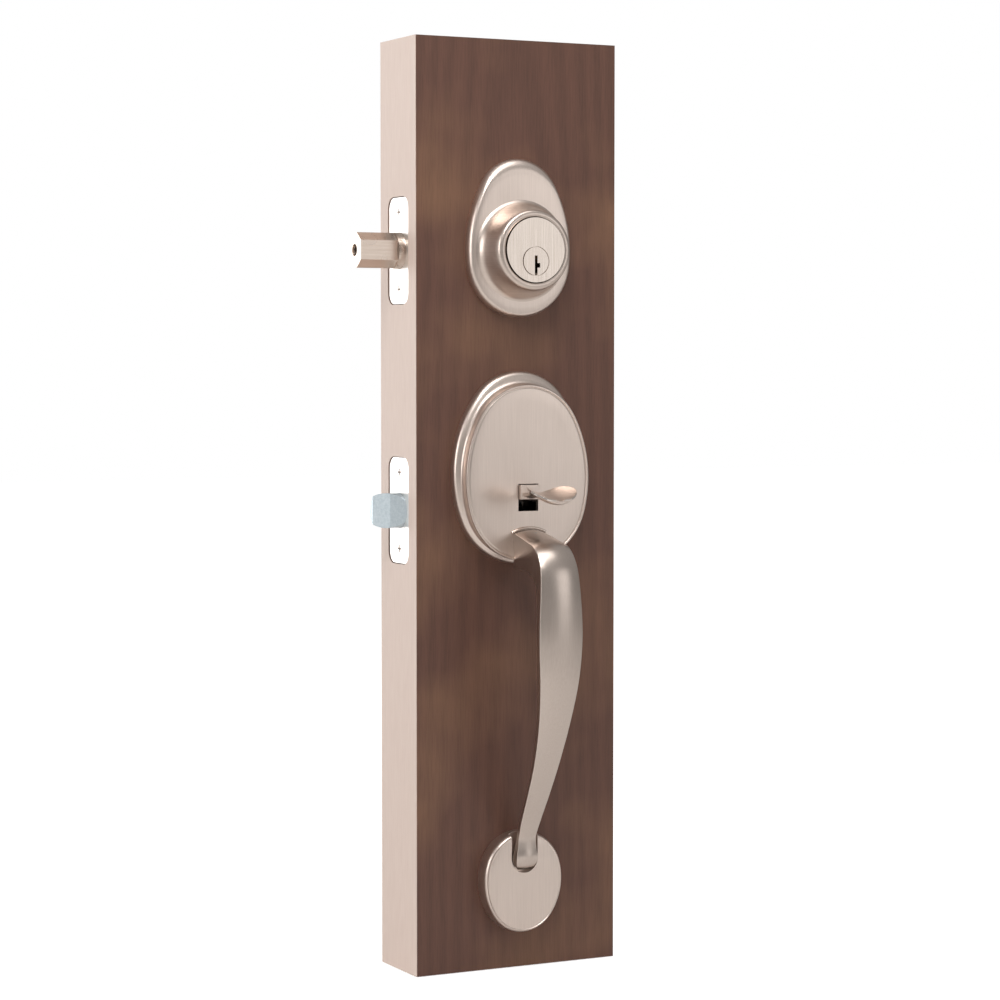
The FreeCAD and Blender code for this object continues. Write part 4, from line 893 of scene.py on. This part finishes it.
@dataclass
class HandleSet:
    """The thumb latch rose, its thumbpiece, the pull grip and the lower plate."""

    door_face: float = -22.225
    latch_z: float = 250.0
    rose_out: float = 14.0
    screw_side: float = 11.25
    screw_rise: float = 19.5
    post_radius: float = 3.6
    slot: tuple[float, float, float] = (6.0, 249.9, 264.6)
    pivot_out: float = 7.0
    pivot_rise: float = 8.0
    foot_z: float = 61.0
    foot_round: float = 7.8
    rose_base: Egg = Egg(39.8, 55.0, 49.0, 70.0, 270.0)
    rose_face: Egg = Egg(36.9, 50.3, 45.1, 70.0, 267.6)
    lower: Egg = Egg(23.5, 26.5, 28.6, 34.0, 49.0)

    def build(self) -> None:
        """Builds the rose, the thumbpiece, the grip and the lower plate."""
        show(self._rose(), "root", "satin_nickel", "handle_rose")
        grip = Grip(self.door_face)
        pull = grip.build()
        show(pull, "root", "satin_nickel", "grip")
        show(grip.build_lip(), "root", "satin_nickel")
        show(Thumbpiece(self.door_face, self.latch_z, self.rose_out).build(), "thumb", "satin_nickel")
        show(self._stem(), "thumb", "satin_nickel", "thumbpiece")
        show(self._lower_plate(), "root", "satin_nickel", "lower_plate")

    def _rose(self) -> bpy.types.Object:
        """Builds the rose: convex foot, cove, fine bead and flat face, then slot, posts and pivot ears.

        Returns:
            The rose.
        """
        rings = ((0.0, 0.0, 0.0), (3.0, 0.0, 0.0), (4.0, 0.02, 0.15), (4.9, 0.08, 0.5), (5.5, 0.18, 1.0),
                 (5.9, 0.32, 1.5), (6.3, 0.48, 1.75), (7.2, 0.64, 1.8), (8.6, 0.8, 1.5), (10.2, 0.91, 0.9),
                 (11.8, 0.98, 0.3), (12.8, 1.0, 0.0), (13.5, 1.0, 0.0), (13.85, 1.0, 0.2), (14.0, 1.0, 0.55),
                 (14.0, 1.0, 0.95), (13.8, 1.0, 1.2), (13.5, 1.0, 1.35), (13.5, 1.0, 1.6), (13.72, 1.0, 1.95),
                 (13.8, 1.0, 2.6), (13.85, 1.0, 9.0))
        rose = Rose("handle_rose_plate", self.rose_base, self.rose_face, rings, (3.6, 11.0),
                    self.door_face).build()
        half, low, high = self.slot
        front, back = self.door_face - self.rose_out, self.door_face
        carve(rose, prism("slot", [(-half, low), (half, low), (half, high), (-half, high)],
                          front - 1, back - 10, 1))
        posts = [prism("post", circle(side * self.screw_side, self.latch_z + side * self.screw_rise,
                                      self.post_radius), front + 2.6, back + 12, 1) for side in (-1, 1)]
        pivot = (self.door_face - self.pivot_out, self.latch_z + self.pivot_rise)
        ears = [prism("ear", circle(*pivot, 3.6, 32), low_x, low_x + 3.0, 0) for low_x in (-9.4, 6.4)]
        for part in posts + ears:
            part.data.materials.append(finish_of(SATIN))
        return merge(rose, *posts, *ears)

    def _stem(self) -> bpy.types.Object:
        """Builds the stem in the slot, its barrel on the pivot and the finger behind the rose.

        Returns:
            The stem.
        """
        y = self.door_face
        stem = prism("thumbpiece_stem", [(-5.8, 256.3), (5.8, 256.3), (5.8, 264.1), (-5.8, 264.1)],
                     y - 5.2, y - 16.5, 1, SATIN)
        pivot = (y - self.pivot_out, self.latch_z + self.pivot_rise)
        barrel = prism("barrel", circle(*pivot, 3.2), -5.5, 5.5, 0, SATIN)
        tail = prism("tail", [(-4, 256), (4, 256), (4, 259), (-4, 259)], y - 6.0, y + 7.8, 1, SATIN)
        across = prism("across", [(-4, 256), (11, 256), (11, 259), (-4, 259)], y + 4.3, y + 7.8, 1, SATIN)
        drop = prism("drop", [(6.5, 250.3), (11, 250.3), (11, 258), (6.5, 258)], y + 6.0, y + 7.8, 1, SATIN)
        finger = prism("finger", [(6.5, 250.3), (11, 250.3), (11, 252.3), (6.5, 252.3)], y + 6.0, y + 11.4, 1,
                       SATIN)
        stem = merge(stem, barrel, tail, across, drop, finger)
        ease(stem, 0.4)
        return stem

    def _lower_plate(self) -> bpy.types.Object:
        """Builds the egg-shaped plate with a fine bead round its face and a recess for the foot.

        Returns:
            The plate.
        """
        rings = ((0.0, 0.0), (6.3, 0.0), (7.6, 0.12), (8.5, 0.4), (9.1, 0.8), (9.4, 1.15), (9.95, 1.25),
                 (10.0, 1.55), (9.75, 1.8), (9.72, 2.1), (9.85, 2.6), (9.95, 8.0))
        plate = loft("lower_plate_body", [self.lower.ring(self.door_face - out, trim) for out, trim in rings],
                     SATIN, 28.0)
        turns = [math.pi + math.pi * step / 24 for step in range(25)]
        wide = self.foot_round
        recess = [(wide * math.cos(turn), self.foot_z + wide * math.sin(turn)) for turn in turns]
        recess += [(wide, 78.0), (-wide, 78.0)]
        cutter = prism("recess", recess, self.door_face - 5.0, self.door_face - 12.0, 1)
        hole = prism("hole", circle(0.0, self.foot_z, 4.8), self.door_face + 1.0, self.door_face - 8.0, 1)
        plate = carve(plate, cutter, hole)
        ease(plate, 0.25, 50.0, 2)
        return plate

    def dress(self) -> None:
        """Finishes the handle's CAD nodes."""
        dress(["foot_cover"], SATIN, 0.35)
        dress(["thumbpiece_pin", "grip_screws", "foot_bolt", "handle_screws", "lift_lever"], ZINC)
        dress(["thumbpiece_spring"], SPRING)


@dataclass
class SpringLatch:
    """The spring latch in the door and the knob that works it from inside, mm."""

    ease_mm: float = 0.35
    latch_z: float = 250.0
    spring_end: float = -29.6
    spring_keep: float = 0.27

    def build(self) -> None:
        """Builds the return spring, a joined-up copy of the CAD coil."""
        coil = reworked("latch_return_spring", "latch_spring", SPRING)
        show(coil, "root", "spring_steel", "latch_spring")
        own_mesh(coil)

    def dress(self) -> None:
        """Finishes the latch's and knob's CAD nodes."""
        dress(["latch_faceplate"], FACEPLATE, 0.15)
        dress(["latch_plate_screws"], SCREW, 0.1)
        dress(["latch_bolt"], LATCH_ZINC, 0.5)
        dress(["latch_backplate", "latch_case", "latch_tail", "latch_hub", "knob_plate", "spindle"], ZINC)
        dress(["knob_spring", "knob_clip"], SPRING)
        dress(["knob_rose"], SATIN, self.ease_mm)
        dress(["inside_knob"], SATIN_LEVEL, self.ease_mm)


@dataclass
class Studio:
    """Pale floor, white surround, soft lights and the camera."""

    floor: str = "#f4f2f0"
    target: Vector = field(default_factory=lambda: Vector((0.0, 0.0, 0.25)))
    camera_mm: tuple[float, float, float] = (-703.5, -1395.0, 331.5)
    turn_deg: float = 26.80
    drop_deg: float = 2.83
    lens_mm: float = 102.53

    def build(self) -> None:
        """Builds floor, world, lights and camera."""
        self._floor()
        self._world()
        self._light("key", (-0.3, -0.5, 1.0), 0.4, 3.6)
        self._light("lock edge", (-2.0, -0.1, 0.75), 1.0, 10.0)
        self._light("behind left", (-1.0, 1.9, 0.6), 1.2, 12.0)
        self._light("right panel", (1.35, -2.3, 0.75), 1.2, 5.0)
        self._light("top", (0.1, -0.5, 1.6), 0.7, 4.0)
        self._camera()

    def _floor(self) -> None:
        """A wide light table under the block."""
        bpy.ops.mesh.primitive_plane_add(size=12.0, location=(0.0, 0.0, -0.0005))
        floor = bpy.context.object
        floor.name = "floor"
        # Frosted acrylic, lit from inside, so that it is white with hardly any shadow
        material, tree = fresh("acrylic light table, frosted")
        ray = add(tree, "LightPath").outputs["Is Camera Ray"]
        glow = add(tree, "MapRange", {3: 0.04, 4: 0.7}, {0: ray})
        shader = add(tree, "BsdfPrincipled", {"Base Color": srgb(self.floor), "Roughness": 0.85, "IOR": 1.49,
                                              "Emission Color": srgb("#ffffff")},
                     {"Emission Strength": glow.outputs[0]})
        add(tree, "OutputMaterial", links={"Surface": shader.outputs[0]})
        floor.data.materials.append(material)

    def _world(self) -> None:
        """Makes a white surround that lights as a dimmer room, grey low down for metal to reflect."""
        world = bpy.data.worlds.new("studio")
        bpy.context.scene.world = world
        world.use_nodes = True
        tree = world.node_tree
        tree.nodes.clear()
        height = add(tree, "SeparateXYZ", links={0: add(tree, "TexCoord").outputs["Generated"]}).outputs[2]
        room = add(tree, "MapRange", {1: -0.6, 2: 0.7, 3: 0.12, 4: 0.42}, {0: height})
        lit = add(tree, "Background", {"Color": (1.0, 0.99, 0.98, 1.0)}, {"Strength": room.outputs[0]})
        seen = add(tree, "Background", {"Color": (1.0, 1.0, 1.0, 1.0), "Strength": 1.0})
        ray = add(tree, "LightPath").outputs["Is Camera Ray"]
        both = add(tree, "MixShader", links={0: ray, 1: lit.outputs[0], 2: seen.outputs[0]})
        add(tree, "OutputWorld", links={"Surface": both.outputs[0]})
        scene = bpy.context.scene
        scene.view_settings.view_transform = "Standard"
        scene.view_settings.look = "None"

    def _light(self, name: str, place: tuple[float, float, float], size: float, power: float) -> None:
        """Hangs one softbox that faces the lock.

        Args:
            name: What the light is for.
            place: Where it hangs, m.
            size: Its side, m.
            power: Its power, W.
        """
        lamp = bpy.data.lights.new(name, "AREA")
        lamp.size = size
        lamp.energy = power
        obj = bpy.data.objects.new(name, lamp)
        obj.location = place
        obj.rotation_mode = "QUATERNION"
        obj.rotation_quaternion = (self.target - Vector(place)).to_track_quat("-Z", "Y")
        bpy.context.scene.collection.objects.link(obj)

    def _camera(self) -> None:
        """Stands the camera left of the lock's face, a little above its middle."""
        turn, drop = math.radians(self.turn_deg), math.radians(self.drop_deg)
        data = bpy.data.cameras.new("camera")
        data.sensor_width = 36.0
        data.lens = self.lens_mm
        data.clip_end = 50.0
        camera = bpy.data.objects.new("camera", data)
        camera.location = Vector(self.camera_mm) * MM
        ahead = Vector((math.sin(turn) * math.cos(drop), math.cos(turn) * math.cos(drop), -math.sin(drop)))
        camera.rotation_mode = "QUATERNION"
        camera.rotation_quaternion = ahead.to_track_quat("-Z", "Y")
        bpy.context.scene.collection.objects.link(camera)
        bpy.context.scene.camera = camera


def main() -> None:
    """Builds and dresses every sub-assembly, then the studio."""
    logging.basicConfig(level=logging.INFO, format="%(message)s")
    for assembly in (Deadbolt(), HandleSet(), SpringLatch()):
        assembly.build()
        assembly.dress()
    DoorSample().dress()
    Studio().build()


if __name__ == "__main__":
    main()
